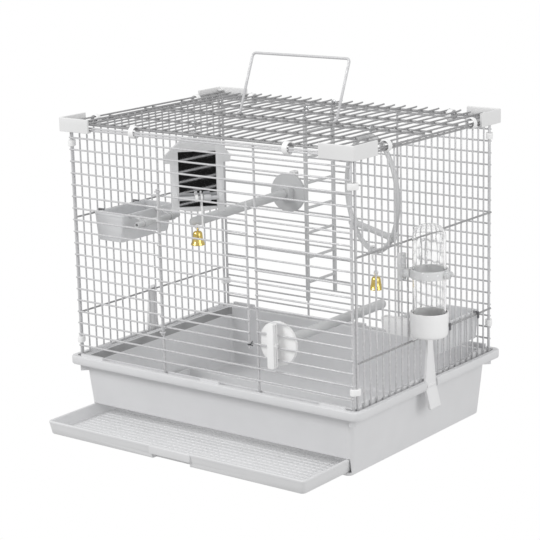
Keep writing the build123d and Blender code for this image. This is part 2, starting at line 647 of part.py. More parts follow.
# ---------------------------------------------------------------- feeders
def feeder_cup():
    """Cup in its own frame: x from 0 (wire side) towards the cage, y along the wall, z = 0 at the hooked wire."""
    L, W, H = cup_len, cup_w, cup_h
    zt = 1.8
    o = loft([Pos(W / 2 - 2.2, L / 2, zt - H) * RectangleRounded(W - 6.4, L - 4.6, 3.6),
              Pos(W / 2, L / 2, zt - 2.2) * RectangleRounded(W - 0.8, L - 0.8, 2.8)])
    i = loft([Pos(W / 2 - 2.2, L / 2, zt - H + 1.8) * RectangleRounded(W - 9.8, L - 8.0, 2.2),
              Pos(W / 2, L / 2, zt - 2.2) * RectangleRounded(W - 4.2, L - 4.2, 1.4)])
    lip_o = extrude(Pos(W / 2, L / 2, zt - 2.2) * RectangleRounded(W, L, 3.0), 2.2)
    lip_i = extrude(Pos(W / 2, L / 2, zt - 2.2) * RectangleRounded(W - 4.2, L - 4.2, 1.4), 2.2)
    b = (o - i) + (lip_o - lip_i)
    for y in (13.43, 65.47):
        up = box(-6.5, 1.6, y - 2.6, y + 2.6, 1.3, 3.0)
        up = up + box(-6.5, -4.9, y - 2.6, y + 2.6, -4.0, 3.0)
        up = up + box(0.0, 2.0, y - 2.6, y + 2.6, -1.0, 3.0)
        b = b + up
    return b


def feeder_perch():
    W = cup_w
    tube_x = W + 19.4
    zc = -5.0
    t = rod((tube_x, -2.5, zc), (tube_x, 60.5, zc), 2.9)
    t = t - rod((tube_x, -3.5, zc), (tube_x, 61.5, zc), 1.5)
    arms = []
    for y in (10.5, 50.5):
        a = bent([(W, y, 0.0), (W + 6.5, y, 0.0), (W + 17.4, y, -4.7)], 5.0, 1.5)
        arms.append(a.solids()[0])
        arms.append((Pos(tube_x, y, zc) * Rot(90, 0, 0) * (Cylinder(4.1, 6.0) - Cylinder(2.85, 8.0))).solids()[0])
    b = t.fuse(*arms)
    b = b - rod((tube_x, -3.5, zc), (tube_x, 61.5, zc), 1.5)
    return b


fx = 165.9
cup0 = feeder_cup()
bar0 = feeder_perch()
yl = -side_hy + side_step * 3.5 - 13.43
yr = -side_hy + side_step * 14.5 - 13.43
put("feeder_left", Pos(-fx, yl, side_rungs[1]) * cup0)
put("feeder_left_perch", Pos(-fx, yl, side_rungs[1]) * bar0)
cupR = cup0.mirror(Plane.YZ)
barR = bar0.mirror(Plane.YZ)
put("feeder_right", Pos(fx, yr, side_rungs[0]) * cupR)
put("feeder_right_perch", Pos(fx, yr, side_rungs[0]) * barR)


# ---------------------------------------------------------------- drinker
def make_tube():
    c = Solid.make_cylinder(tube_R, tube_z1 - tube_z0 - tube_R * 0.72, Plane(origin=(0, 0, tube_z0)))
    R, H = tube_R, tube_R * 0.72
    zb = tube_z1 - H
    dome_o = revolve(Face(Wire([Edge.make_line((0, 0, zb), (R, 0, zb)),
                                Edge.make_spline([(R, 0, zb), (R * 0.93, 0, zb + H * 0.45), (R * 0.62, 0, zb + H * 0.84), (0, 0, zb + H)],
                                                 tangents=[(0, 0, 1), (-1, 0, 0)]),
                                Edge.make_line((0, 0, zb + H), (0, 0, zb))])), Axis.Z, 360)
    r, h = tube_R - tube_t, H - tube_t
    dome_i = revolve(Face(Wire([Edge.make_line((0, 0, zb), (r, 0, zb)),
                                Edge.make_spline([(r, 0, zb), (r * 0.93, 0, zb + h * 0.45), (r * 0.62, 0, zb + h * 0.84), (0, 0, zb + h)],
                                                 tangents=[(0, 0, 1), (-1, 0, 0)]),
                                Edge.make_line((0, 0, zb + h), (0, 0, zb))])), Axis.Z, 360)
    body = c.fuse(dome_o.solids()[0])
    body = body - Solid.make_cylinder(r, zb - tube_z0 + 1.0, Plane(origin=(0, 0, tube_z0 - 1.0)))
    body = body - dome_i
    return Pos(drink_x, drink_y, 0) * body


put("drinker_tube", make_tube())


def make_cup():
    R = 17.9
    z0, z1 = 119.8, 143.5
    o = Solid.make_cone(R - 0.9, R, z1 - z0, Plane(origin=(drink_x, drink_y, z0)))
    o = fillet(o.edges().sort_by(Axis.Z)[0], 2.4)
    i = Solid.make_cone(R - 2.15, R - 1.5, z1 - z0 - 2.0, Plane(origin=(drink_x, drink_y, z0 + 2.0)))
    # trough between two side wires into the cage
    tr = box(137.0, 180.0, trough_y - 4.0, trough_y + 4.0, 116.4, 131.8)
    tr_i = box(138.6, 185.0, trough_y - 2.4, trough_y + 2.4, 122.0, 133.8)
    cut = (Pos(137.0, trough_y, 116.4) * Rot(0, -32, 0) * Box(20, 12, 16, align=(Align.MAX, Align.CENTER, Align.MIN)))
    tr = tr - cut
    b = o + tr - i - tr_i
    # seats that stand the tube's mouth off the cup's floor
    for a in (90, 210, 330):
        cx = drink_x + 14.9 * math.cos(math.radians(a))
        cy = drink_y + 14.9 * math.sin(math.radians(a))
        b = b + Pos(cx, cy, 123.8) * Cylinder(1.2, 5.0)
    # lip that hooks over the level wire
    b = b + box(171.0, 172.6, trough_y - 4.0, trough_y + 4.0, 108.6, 121.0)
    return b


put("drinker_cup", make_cup())


def make_holder():
    z0, z1 = 175.8, 184.0
    ro, ri = 17.7, 15.85
    c = Solid.make_cylinder(ro, z1 - z0, Plane(origin=(drink_x, drink_y, z0))) - \
        Solid.make_cylinder(ri, z1 - z0, Plane(origin=(drink_x, drink_y, z0)))
    # split and screw lugs on the outer side
    lug = box(drink_x + ri + 0.5, drink_x + ro + 4.6, drink_y - 2.6, drink_y + 2.6, 176.6, 183.2)
    c = c + lug
    c = c - box(drink_x + 10, drink_x + 30, drink_y - 0.6, drink_y + 0.6, 170, 195)
    c = c - rod((drink_x + ro + 2.4, drink_y - 9, 179.9), (drink_x + ro + 2.4, drink_y + 9, 179.9), 1.06)
    # arm to the panel, neck between two wires, plate inside the cage
    yv = -side_hy + side_step * 7.5
    arm = box(171.3, 174.6, yv - 3.6, drink_y + 3.0, z0, z1)
    neck = box(166.2, 172.0, yv - 3.6, yv + 3.6, z0 + 0.8, z1 - 0.8)
    plate = box(163.2, 166.7, yv - 4.6, yv + 4.6, 171.4, 197.4)
    plate = fillet(plate.edges().filter_by(Axis.X), 1.5)
    plate = plate - box(160, 170, yv - 2.2, yv + 2.2, 186.6, 195.2) - box(160, 170, yv - 1.6, yv + 1.6, 172.6, 175.4)
    h = c + arm - Solid.make_cylinder(ri, z1 - z0, Plane(origin=(drink_x, drink_y, z0)))
    return h + neck + plate


put("drinker_holder", make_holder())
kx, kz = drink_x + 17.7 + 2.4, 179.9
screw = rod((kx, drink_y - 4.4, kz), (kx, drink_y + 3.6, kz), 1.0)
knob = rod((kx, drink_y + 2.7, kz), (kx, drink_y + 5.6, kz), 2.6)
nut = rod((kx, drink_y - 4.6, kz), (kx, drink_y - 2.7, kz), 2.0)
put("drinker_screw", screw.fuse(knob, nut))

save_all()
print(len(nodes), "nodes")
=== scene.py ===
import bpy
import bmesh
import math
import random
from math import sin, cos, pi, radians, hypot
from mathutils import Vector, Matrix


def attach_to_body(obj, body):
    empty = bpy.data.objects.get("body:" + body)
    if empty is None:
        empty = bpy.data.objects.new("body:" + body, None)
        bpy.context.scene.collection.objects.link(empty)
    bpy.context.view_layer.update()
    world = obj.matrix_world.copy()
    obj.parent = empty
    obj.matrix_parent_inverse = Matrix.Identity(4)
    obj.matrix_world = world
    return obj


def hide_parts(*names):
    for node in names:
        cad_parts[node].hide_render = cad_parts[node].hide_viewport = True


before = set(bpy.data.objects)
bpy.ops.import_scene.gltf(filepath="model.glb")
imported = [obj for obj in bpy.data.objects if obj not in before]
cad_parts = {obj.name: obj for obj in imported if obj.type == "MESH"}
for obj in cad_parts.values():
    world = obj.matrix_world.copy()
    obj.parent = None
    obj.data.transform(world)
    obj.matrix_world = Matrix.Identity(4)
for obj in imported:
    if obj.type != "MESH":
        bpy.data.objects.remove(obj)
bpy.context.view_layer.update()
random.seed(7)
scene = bpy.context.scene
MM = 0.001


# ------------------------------------------------------------------ camera
def make_camera():
    yaw, pitch, roll = radians(-37.6206), radians(13.4174), radians(-1.4308)
    fw = Vector((sin(yaw) * cos(pitch), cos(yaw) * cos(pitch), -sin(pitch)))
    rt = Vector((cos(yaw), -sin(yaw), 0.0))
    up = rt.cross(fw)
    r2 = cos(roll) * rt + sin(roll) * up
    u2 = -sin(roll) * rt + cos(roll) * up
    cam = bpy.data.cameras.new("camera")
    cam.sensor_width = 36.0
    cam.lens = 1790.53 / 540.0 * 36.0
    cam.clip_start, cam.clip_end = 0.05, 20.0
    obj = bpy.data.objects.new("camera", cam)
    scene.collection.objects.link(obj)
    m = Matrix.Identity(4)
    for i in range(3):
        m[i][0], m[i][1], m[i][2] = r2[i], u2[i], -fw[i]
    m[0][3], m[1][3], m[2][3] = 1.0437, -1.3747, 0.5652
    obj.matrix_world = m
    scene.camera = obj


make_camera()


# ------------------------------------------------------------------ materials
def principled(name):
    mat = bpy.data.materials.new(name)
    mat.use_nodes = True
    nt = mat.node_tree
    b = nt.nodes.get("Principled BSDF")
    return mat, nt, b


def mottled(nt, b, base, spread, scale, rough, rough_spread, bump_scale, bump, dist, detail_scale=None):
    """Colour drift, roughness drift and a fine moulded or sprayed skin."""
    tc = nt.nodes.new("ShaderNodeTexCoord")
    n1 = nt.nodes.new("ShaderNodeTexNoise")
    n1.inputs["Scale"].default_value = scale
    n1.inputs["Detail"].default_value = 4.0
    nt.links.new(tc.outputs["Object"], n1.inputs["Vector"])
    ramp = nt.nodes.new("ShaderNodeValToRGB")
    ramp.color_ramp.elements[0].position = 0.3
    ramp.color_ramp.elements[1].position = 0.7
    lo = [max(0.0, c - spread) for c in base]
    hi = [min(1.0, c + spread) for c in base]
    ramp.color_ramp.elements[0].color = (*lo, 1)
    ramp.color_ramp.elements[1].color = (*hi, 1)
    nt.links.new(n1.outputs["Fac"], ramp.inputs["Fac"])
    nt.links.new(ramp.outputs["Color"], b.inputs["Base Color"])
    n2 = nt.nodes.new("ShaderNodeTexNoise")
    n2.inputs["Scale"].default_value = scale * 2.7
    n2.inputs["Detail"].default_value = 6.0
    nt.links.new(tc.outputs["Object"], n2.inputs["Vector"])
    mr = nt.nodes.new("ShaderNodeMapRange")
    mr.inputs["From Min"].default_value = 0.25
    mr.inputs["From Max"].default_value = 0.75
    mr.inputs["To Min"].default_value = max(0.02, rough - rough_spread)
    mr.inputs["To Max"].default_value = rough + rough_spread
    nt.links.new(n2.outputs["Fac"], mr.inputs["Value"])
    nt.links.new(mr.outputs["Result"], b.inputs["Roughness"])
    n3 = nt.nodes.new("ShaderNodeTexNoise")
    n3.inputs["Scale"].default_value = bump_scale
    n3.inputs["Detail"].default_value = 3.0
    nt.links.new(tc.outputs["Object"], n3.inputs["Vector"])
    bp = nt.nodes.new("ShaderNodeBump")
    bp.inputs["Strength"].default_value = bump
    bp.inputs["Distance"].default_value = dist
    nt.links.new(n3.outputs["Fac"], bp.inputs["Height"])
    nt.links.new(bp.outputs["Normal"], b.inputs["Normal"])


def plastic(name, base, rough=0.42, spec=0.45, bump=0.10, coat=0.0, spread=0.012, sss=0.0):
    mat, nt, b = principled(name)
    mottled(nt, b, base, spread, 38.0, rough, 0.05, 2600.0, bump, 0.00012)
    b.inputs["Specular IOR Level"].default_value = spec
    b.inputs["Coat Weight"].default_value = coat
    b.inputs["Coat Roughness"].default_value = 0.18
    if sss:
        b.inputs["Subsurface Weight"].default_value = sss
        b.inputs["Subsurface Radius"].default_value = (0.004, 0.004, 0.004)
    return mat


def wire_paint(name, base):
    mat, nt, b = principled(name)
    mottled(nt, b, base, 0.03, 160.0, 0.27, 0.07, 1500.0, 0.25, 0.00018)
    b.inputs["Specular IOR Level"].default_value = 0.7
    b.inputs["Coat Weight"].default_value = 0.5
    b.inputs["Coat Roughness"].default_value = 0.12
    return mat


def metal(name, base, rough, bump=0.15, scale=700.0):
    mat, nt, b = principled(name)
    mottled(nt, b, base, 0.05, 240.0, rough, 0.07, scale, bump, 0.00015)
    b.inputs["Metallic"].default_value = 1.0
    return mat


M_wire = wire_paint("wire_paint", (0.60, 0.60, 0.61))
# Painted shade: the roof and level wires get this darker copy of the wire paint; on the real cage they are the same
# paint, seen in shade.
M_wire_painted_shade = wire_paint("wire_painted_shade", (0.32, 0.32, 0.325))
M_tub = plastic("tub_plastic", (0.72, 0.722, 0.732), 0.40, 0.42, 0.10)
# Painted shade: a dark band for the tub's inner left wall, standing for the shade under the rim; the plastic there is
# the same as the rest of the tub.
M_tub_painted_shade_band = plastic("tub_painted_shade_band", (0.36, 0.36, 0.365), 0.6, 0.3, 0.12, spread=0.05)
M_frame = plastic("mirror_frame_plastic", (0.76, 0.763, 0.77), 0.36, 0.5, 0.08)
# Partly painted light: the lower perch disc is white plastic, made lighter than the other white parts to stand for
# light falling on it.
M_disc_painted_light = plastic("disc_white_painted_light", (0.97, 0.97, 0.97), 0.34, 0.5, 0.06)
M_tray = plastic("tray_plastic", (0.72, 0.722, 0.73), 0.38, 0.45, 0.08)
M_white = plastic("white_plastic", (0.91, 0.91, 0.91), 0.32, 0.5, 0.06)
M_bracket = plastic("bracket_plastic", (0.77, 0.77, 0.77), 0.36, 0.5, 0.06)
M_grey = plastic("grey_plastic", (0.60, 0.605, 0.615), 0.36, 0.5, 0.08)
M_feeder = plastic("feeder_plastic", (0.74, 0.745, 0.755), 0.38, 0.5, 0.08)
M_perch = plastic("perch_plastic", (0.60, 0.605, 0.61), 0.40, 0.45, 0.10)
M_latch = plastic("latch_plastic", (0.82, 0.82, 0.825), 0.36, 0.5, 0.07)
M_steel = metal("zinc_wire", (0.62, 0.63, 0.64), 0.28)
M_brass = metal("bell_gold", (0.86, 0.66, 0.22), 0.22, 0.3, 900.0)
M_hook = metal("hook_wire", (0.26, 0.26, 0.27), 0.36)
M_dark = metal("dark_spring", (0.06, 0.06, 0.065), 0.42)


def make_clear():
    mat, nt, b = principled("clear_plastic")
    mottled(nt, b, (0.995, 0.995, 0.995), 0.004, 60.0, 0.05, 0.03, 420.0, 0.12, 0.0002)
    b.inputs["Transmission Weight"].default_value = 1.0
    b.inputs["IOR"].default_value = 1.27
    b.inputs["Specular IOR Level"].default_value = 0.6
    return mat


def make_collar():
    mat, nt, b = principled("collar_plastic")
    mottled(nt, b, (0.93, 0.935, 0.94), 0.02, 90.0, 0.24, 0.06, 700.0, 0.15, 0.0002)
    b.inputs["Transmission Weight"].default_value = 0.35
    b.inputs["IOR"].default_value = 1.46
    return mat


def make_mirror():
    mat, nt, b = principled("mirror_glass")
    mottled(nt, b, (0.80, 0.80, 0.81), 0.01, 50.0, 0.05, 0.02, 60.0, 0.04, 0.0001)
    b.inputs["Metallic"].default_value = 1.0
    return mat


M_clear, M_collar, M_mirror = make_clear(), make_collar(), make_mirror()


# ------------------------------------------------------------------ mesh tools
def finalize(me, sharp=33.0):
    bm = bmesh.new()
    bm.from_mesh(me)
    bmesh.ops.remove_doubles(bm, verts=bm.verts, dist=1e-7)
    bmesh.ops.dissolve_degenerate(bm, dist=1e-8, edges=bm.edges)
    bmesh.ops.recalc_face_normals(bm, faces=bm.faces)
    lim = radians(sharp)
    for f in bm.faces:
        f.smooth = True
    for e in bm.edges:
        e.smooth = not (len(e.link_faces) == 2 and e.calc_face_angle(0.0) > lim)
    bm.to_mesh(me)
    bm.free()
    me.update()


def make_object(name, bm, mat, sharp=33.0):
    """bm is in millimetres."""
    bmesh.ops.scale(bm, vec=(MM, MM, MM), verts=bm.verts)
    me = bpy.data.meshes.new(name)
    bm.to_mesh(me)
    bm.free()
    finalize(me, sharp)
    me.materials.append(mat)
    ob = bpy.data.objects.new(name, me)
    scene.collection.objects.link(ob)
    return ob


def attach(ob, body, slot, *nodes):
    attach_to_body(ob, body)
    if nodes:
        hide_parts(*nodes)
    return ob


def apply_modifiers(ob):
    bpy.context.view_layer.update()
    dg = bpy.context.evaluated_depsgraph_get()
    me = bpy.data.meshes.new_from_object(ob.evaluated_get(dg))
    old = ob.data
    ob.modifiers.clear()
    ob.data = me
    bpy.data.meshes.remove(old)


def loft(bm, loops, cap_a=True, cap_b=True, closed=True):
    """loops: lists of points with equal counts, joined by quads."""
    rows = [[bm.verts.new(p) for p in lp] for lp in loops]
    n = len(rows[0])
    for a, b in zip(rows, rows[1:]):
        for i in range(n if closed else n - 1):
            j = (i + 1) % n
            bm.faces.new((a[i], a[j], b[j], b[i]))
    if cap_a:
        bm.faces.new(list(reversed(rows[0])))
    if cap_b:
        bm.faces.new(rows[-1])
    return rows


def rr(hx, hy, r, z, cx=0.0, cy=0.0, n=7, m=1):
    """Rounded rectangle loop, anticlockwise; n points on each corner arc."""
    pts = []
    r = max(0.01, min(r, hx - 0.01, hy - 0.01))
    for (sx, sy, a0) in ((1, 1, 0), (-1, 1, 90), (-1, -1, 180), (1, -1, 270)):
        ox, oy = cx + sx * (hx - r), cy + sy * (hy - r)
        for i in range(n):
            a = radians(a0 + 90.0 * i / (n - 1))
            pts.append((ox + r * cos(a), oy + r * sin(a), z))
    return pts


def tube(bm, pts, r, n=12, dome=True):
    """Round wire through points (already smooth), with domed ends."""
    pts = [Vector(p) for p in pts]
    tang = []
    for i in range(len(pts)):
        a = pts[max(0, i - 1)]
        b = pts[min(len(pts) - 1, i + 1)]
        tang.append((b - a).normalized())
    ref = Vector((0, 0, 1)) if abs(tang[0].z) < 0.9 else Vector((1, 0, 0))
    u = tang[0].cross(ref).normalized()
    loops = []
    rings = []
    for i, (p, t) in enumerate(zip(pts, tang)):
        if i:
            u = (u - t * u.dot(t)).normalized()
        v = t.cross(u)
        rings.append((p, t, u.copy(), v.copy(), r))
    if dome:
        p, t, u0, v0, _ = rings[0]
        pre = [(p + t * (r * 0.06), t, u0, v0, r * 0.45), (p + t * (r * 0.25), t, u0, v0, r * 0.8)]
        p, t, u1, v1, _ = rings[-1]
        post = [(p - t * (r * 0.25), t, u1, v1, r * 0.8), (p - t * (r * 0.06), t, u1, v1, r * 0.45)]
        rings[0] = (rings[0][0] + rings[0][1] * (r * 0.62), rings[0][1], rings[0][2], rings[0][3], r)
        rings[-1] = (rings[-1][0] - rings[-1][1] * (r * 0.62), rings[-1][1], rings[-1][2], rings[-1][3], r)
        rings = pre + rings + post
    for p, t, uu, vv, q in rings:
        loops.append([p + (uu * cos(2 * pi * k / n) + vv * sin(2 * pi * k / n)) * q for k in range(n)])
    loft(bm, loops)


def bow(p, q, amp, k=5):
    """Points from p to q with a slight wander, as hand-straightened wire has."""
    p, q = Vector(p), Vector(q)
    d = (q - p).normalized()
    ref = Vector((0, 0, 1)) if abs(d.z) < 0.9 else Vector((1, 0, 0))
    u = d.cross(ref).normalized()
    v = d.cross(u)
    a1, a2 = random.uniform(-amp, amp), random.uniform(-amp, amp)
    b1, b2 = random.uniform(-amp, amp) * 0.5, random.uniform(-amp, amp) * 0.5
    out = []
    for i in range(k):
        s = i / (k - 1)
        out.append(p.lerp(q, s) + u * (a1 * sin(pi * s) + b1 * sin(2 * pi * s)) + v * (a2 * sin(pi * s) + b2 * sin(2 * pi * s)))
    return out


def nugget(bm, c, ax, r):
    """Small weld bead, flattened along ax ('x', 'y' or 'z')."""
    s = {"x": (0.75, 1, 1), "y": (1, 0.75, 1), "z": (1, 1, 0.75)}[ax]
    rows = []
    n, m = 8, 5
    for j in range(1, m):
        th = pi * j / m
        rows.append([(c[0] + s[0] * r * sin(th) * cos(2 * pi * i / n), c[1] + s[1] * r * sin(th) * sin(2 * pi * i / n),
                      c[2] + s[2] * r * cos(th)) for i in range(n)])
    loft(bm, rows)


def arc_path(points, radii, n=7):
    """Polyline with its inner corners rounded."""
    pts = [Vector(p) for p in points]
    if isinstance(radii, (int, float)):
        radii = [radii] * (len(pts) - 2)
    out = [pts[0]]
    for i in range(1, len(pts) - 1):
        a, b, c = pts[i - 1], pts[i], pts[i + 1]
        d1, d2 = (a - b).normalized(), (c - b).normalized()
        ang = d1.angle(d2)
        r = radii[i - 1]
        t = r / math.tan(ang / 2)
        p1, p2 = b + d1 * t, b + d2 * t
        cen = b + (d1 + d2).normalized() * (r / sin(ang / 2))
        v1, v2 = p1 - cen, p2 - cen
        tot = v1.angle(v2)
        ax = v1.cross(v2).normalized()
        for k in range(n + 1):
            out.append(cen + Matrix.Rotation(tot * k / n, 3, ax) @ v1)
    out.append(pts[-1])
    return out


def lathe(bm, prof, n=48, axis="z", at=(0, 0, 0), cap_a=True, cap_b=True, mod=None):
    """prof: (radius, height) list, turned about the axis."""
    loops = []
    for r, h in prof:
        r = max(r, 1e-4)
        lp = []
        for i in range(n):
            a = 2 * pi * i / n
            q = r + (mod(a, h) if mod else 0.0)
            x, y = q * cos(a), q * sin(a)
            if axis == "z":
                p = (x, y, h)
            elif axis == "y":
                p = (x, h, -y)
            else:
                p = (h, x, y)
            lp.append((p[0] + at[0], p[1] + at[1], p[2] + at[2]))
        loops.append(lp)
    loft(bm, loops, cap_a, cap_b)


def ring_lathe(bm, prof, n=48, axis="z", at=(0, 0, 0)):
    """Closed profile turned into a ring."""
    loops = []
    for r, h in prof + [prof[0]]:
        lp = []
        for i in range(n):
            a = 2 * pi * i / n
            x, y = r * cos(a), r * sin(a)
            p = {"z": (x, y, h), "y": (x, h, -y), "x": (h, x, y)}[axis]
            lp.append((p[0] + at[0], p[1] + at[1], p[2] + at[2]))
        loops.append(lp)
    loft(bm, loops, False, False)


def band_profile(r0, r1, h0, h1, e):
    """Rectangular section with rounded corners for ring_lathe."""
    pts = []
    for (cr, ch, a0) in ((r1 - e, h1 - e, 0), (r0 + e, h1 - e, 90), (r0 + e, h0 + e, 180), (r1 - e, h0 + e, 270)):
        for i in range(4):
            a = radians(a0 + 30 * i)
            pts.append((cr + e * cos(a), ch + e * sin(a)))
    return pts


def offset_poly(pts, d):
    """Moves each side of an anticlockwise polygon inwards by d."""
    n = len(pts)
    out = []
    for i in range(n):
        p0, p1, p2 = Vector(pts[i - 1]), Vector(pts[i]), Vector(pts[(i + 1) % n])
        e1, e2 = (p1 - p0).normalized(), (p2 - p1).normalized()
        n1, n2 = Vector((-e1.y, e1.x)), Vector((-e2.y, e2.x))
        k = 1.0 + n1.dot(n2)
        out.append(p1 + (n1 + n2) * (d / max(k, 0.15)))
    return [(p.x, p.y) for p in out]


def round_poly(pts, radii, n=5):
    """Rounds the corners of a 2-D polygon; radii is one value or one per point."""
    out = []
    k = len(pts)
    for i in range(k):
        a, b, c = Vector(pts[i - 1]), Vector(pts[i]), Vector(pts[(i + 1) % k])
        r = radii[i] if isinstance(radii, (list, tuple)) else radii
        if r <= 0.01:
            out.append((b.x, b.y))
            continue
        d1, d2 = (a - b).normalized(), (c - b).normalized()
        ang = d1.angle(d2)
        if ang > 3.05:
            out.append((b.x, b.y))
            continue
        t = min(r / math.tan(ang / 2), 0.48 * (a - b).length, 0.48 * (c - b).length)
        rr_ = t * math.tan(ang / 2)
        cen = b + (d1 + d2).normalized() * (rr_ / sin(ang / 2))
        v1, v2 = (b + d1 * t) - cen, (b + d2 * t) - cen
        a1, a2 = math.atan2(v1.y, v1.x), math.atan2(v2.y, v2.x)
        da = (a2 - a1 + pi) % (2 * pi) - pi
        for j in range(n):
            q = a1 + da * j / (n - 1)
            out.append((cen.x + rr_ * cos(q), cen.y + rr_ * sin(q)))
    return out


def slab(bm, poly, h0, h1, e, to3d, steps=3):
    """Extrudes a polygon from h0 to h1 with edges rounded by e. to3d(x, y, h) gives the point."""
    levels = []
    for i in range(steps + 1):
        a = pi / 2 * i / steps
        levels.append((h0 + e * (1 - cos(a)) if i else h0, e * (1 - sin(a))))
    top = [(h0 + h1 - h, d) for h, d in reversed(levels)]
    loops = [[to3d(x, y, h) for x, y in offset_poly(poly, d)] for h, d in levels + top]
    loft(bm, loops)


def join(bms):
    """Joins several bmeshes into the first."""
    base = bms[0]
    for b in bms[1:]:
        me = bpy.data.meshes.new("tmp")
        b.to_mesh(me)
        b.free()
        base.from_mesh(me)
        bpy.data.meshes.remove(me)
    return base


def cutter(x0, x1, y0, y1, z0, z1, e=0.0, axis="z"):
    """Box solid as an object in metres, with rounded upright edges when e is given."""
    bm = bmesh.new()
    if e:
        if axis == "y":
            poly = round_poly([(x0, z0), (x1, z0), (x1, z1), (x0, z1)], e, 5)
            loft(bm, [[(x, y1, z) for x, z in poly], [(x, y0, z) for x, z in poly]])
        elif axis == "x":
            poly = round_poly([(y0, z0), (y1, z0), (y1, z1), (y0, z1)], e, 5)
            loft(bm, [[(x0, y, z) for y, z in poly], [(x1, y, z) for y, z in poly]])
        else:
            poly = round_poly([(x0, y0), (x1, y0), (x1, y1), (x0, y1)], e, 5)
            loft(bm, [[(x, y, z0) for x, y in poly], [(x, y, z1) for x, y in poly]])
    else:
        loft(bm, [[(x0, y0, z0), (x1, y0, z0), (x1, y1, z0), (x0, y1, z0)],
                  [(x0, y0, z1), (x1, y0, z1), (x1, y1, z1), (x0, y1, z1)]])
    bmesh.ops.recalc_face_normals(bm, faces=bm.faces)
    bmesh.ops.scale(bm, vec=(MM, MM, MM), verts=bm.verts)
    me = bpy.data.meshes.new("cut")
    bm.to_mesh(me)
    bm.free()
    ob = bpy.data.objects.new("cut", me)
    scene.collection.objects.link(ob)
    return ob


def boolean(ob, tools, op):
    for t in tools:
        m = ob.modifiers.new("b", "BOOLEAN")
        m.operation = op
        m.solver = "EXACT"
        m.object = t
    apply_modifiers(ob)
    for t in tools:
        me = t.data
        bpy.data.objects.remove(t)
        bpy.data.meshes.remove(me)


def soften(ob, width, segments=2, angle=35.0, sharp=33.0):
    """Rounds the hard edges that are left."""
    m = ob.modifiers.new("bevel", "BEVEL")
    m.width = width * MM
    m.segments = segments
    m.limit_method = "ANGLE"
    m.angle_limit = radians(angle)
    m.use_clamp_overlap = True
    m.miter_outer = "MITER_ARC"
    apply_modifiers(ob)
    finalize(ob.data, sharp)


# ------------------------------------------------------------------ wire panels
EDGE_X, FY_V, FY_H = 166.0, 118.0, 119.6
SIDE_V, SIDE_H, SIDE_Y = 168.0, 169.7, 114.5
STEP = 2 * SIDE_Y / 22
ROOF_Y, ROOF_X = 304.9, 303.2


def front_panel(sy, doorway):
    bm = bmesh.new()
    yv, yh = sy * FY_V, sy * FY_H
    posts = [(-EDGE_X, 1.3), (-56.0, 1.1), (59.3, 1.1), (EDGE_X, 1.3)]
    for x, r in posts:
        tube(bm, bow((x, yv, 66.6), (x, yv, 301.6), 0.12, 7), r, 14)
    rows = [(67.0, 1.2), (298.6, 1.0), (301.0, 1.0)] + [(290.0 - 11.7 * k, 0.9) for k in range(19)]
    for i, (z, r) in enumerate(rows):
        k = i - 3
        if doorway and 5 <= k <= 14:
            spans = [(-167.3, -55.3), (58.6, 167.3)]
        else:
            spans = [(-167.3, 167.3)]
        for a, b in spans:
            tube(bm, bow((a, yh, z), (b, yh, z), 0.14, 7), r, 12)
            for x, rp in posts:
                if a < x < b or abs(x - a) < 1.2 or abs(x - b) < 1.2:
                    nugget(bm, (x, (yv + yh) / 2, z), "y", 1.25)
    if doorway:
        for z in (110.2, 247.6):
            pts = [(-52.5 + 2.3 * cos(a), -123.4 + 2.3 * sin(a), z + 0.15 * sin(a * 2)) for a in
                   [radians(120 + 14 * k) for k in range(25)]]
            tube(bm, pts, 0.8, 10)
            tube(bm, [(-53.7, -121.3, z), (-55.4, -119.9, z), (-56.0, -118.0, z)], 0.8, 10)
    return bm


attach(make_object("front_wires", front_panel(-1, True), M_wire), "cage", "wire_paint", "front_panel")
attach(make_object("back_wires", front_panel(1, False), M_wire), "cage", "wire_paint", "back_panel")


def side_panel(sx):
    bm = bmesh.new()
    ys = [-SIDE_Y + STEP * i for i in range(23)]
    for i, y in enumerate(ys):
        r = 1.3 if i in (0, 22) else 0.87
        tube(bm, bow((sx * SIDE_V, y, 66.4), (sx * SIDE_V, y, 301.5), 0.13, 7), r, 12)
    low = bmesh.new()
    for z, r in ((67.0, 1.2), (112.0, 0.95), (209.0, 0.95), (298.6, 1.0), (301.0, 1.0)):
        tube(low, bow((sx * SIDE_H, -115.6, z), (sx * SIDE_H, 115.6, z), 0.12, 7), r, 12)
        for y in ys:
            nugget(bm, (sx * (SIDE_V + 0.9), y, z), "x", 1.2)
    return bm, low


for side_name, side_sx in (("right", 1), ("left", -1)):
    up_bm, low_bm = side_panel(side_sx)
    attach(make_object(side_name + "_wires", up_bm, M_wire), "cage", "wire_paint", side_name + "_panel")
    # Painted shade: the level wires take the darker copy of the wire paint.
    attach(make_object(side_name + "_level_wires", low_bm, M_wire_painted_shade), "cage", "wire_paint")


def roof():
    bm = bmesh.new()
    ys = (-114.2, -108.0, -58.0, -4.0, 8.0, 54.0, 114.2)
    for k in range(-13, 14):
        x = 13.0 * k
        j = random.uniform(-0.25, 0.25)
        if abs(k) < 11:
            end = [(x, 117.5, ROOF_Y), (x + j, 121.5, ROOF_Y + 0.2), (x + 2 * j, 124.9, ROOF_Y + 0.5)]
        else:
            end = [(x, 117.5, ROOF_Y), (x, 121.0, ROOF_Y)]
        tube(bm, bow((x, -115.2, ROOF_Y), (x, 112.0, ROOF_Y), 0.16, 8) + end, 0.86, 12)
        for y in ys:
            nugget(bm, (x, y, (ROOF_X + ROOF_Y) / 2), "z", 1.2)
    for y in ys:
        tube(bm, bow((-169.9, y, ROOF_X), (169.9, y, ROOF_X), 0.12, 8), 1.0, 12)
    return bm


# Painted shade: the roof wires take the darker copy of the wire paint.
attach(make_object("roof_wires", roof(), M_wire_painted_shade), "cage", "wire_paint", "top_panel")


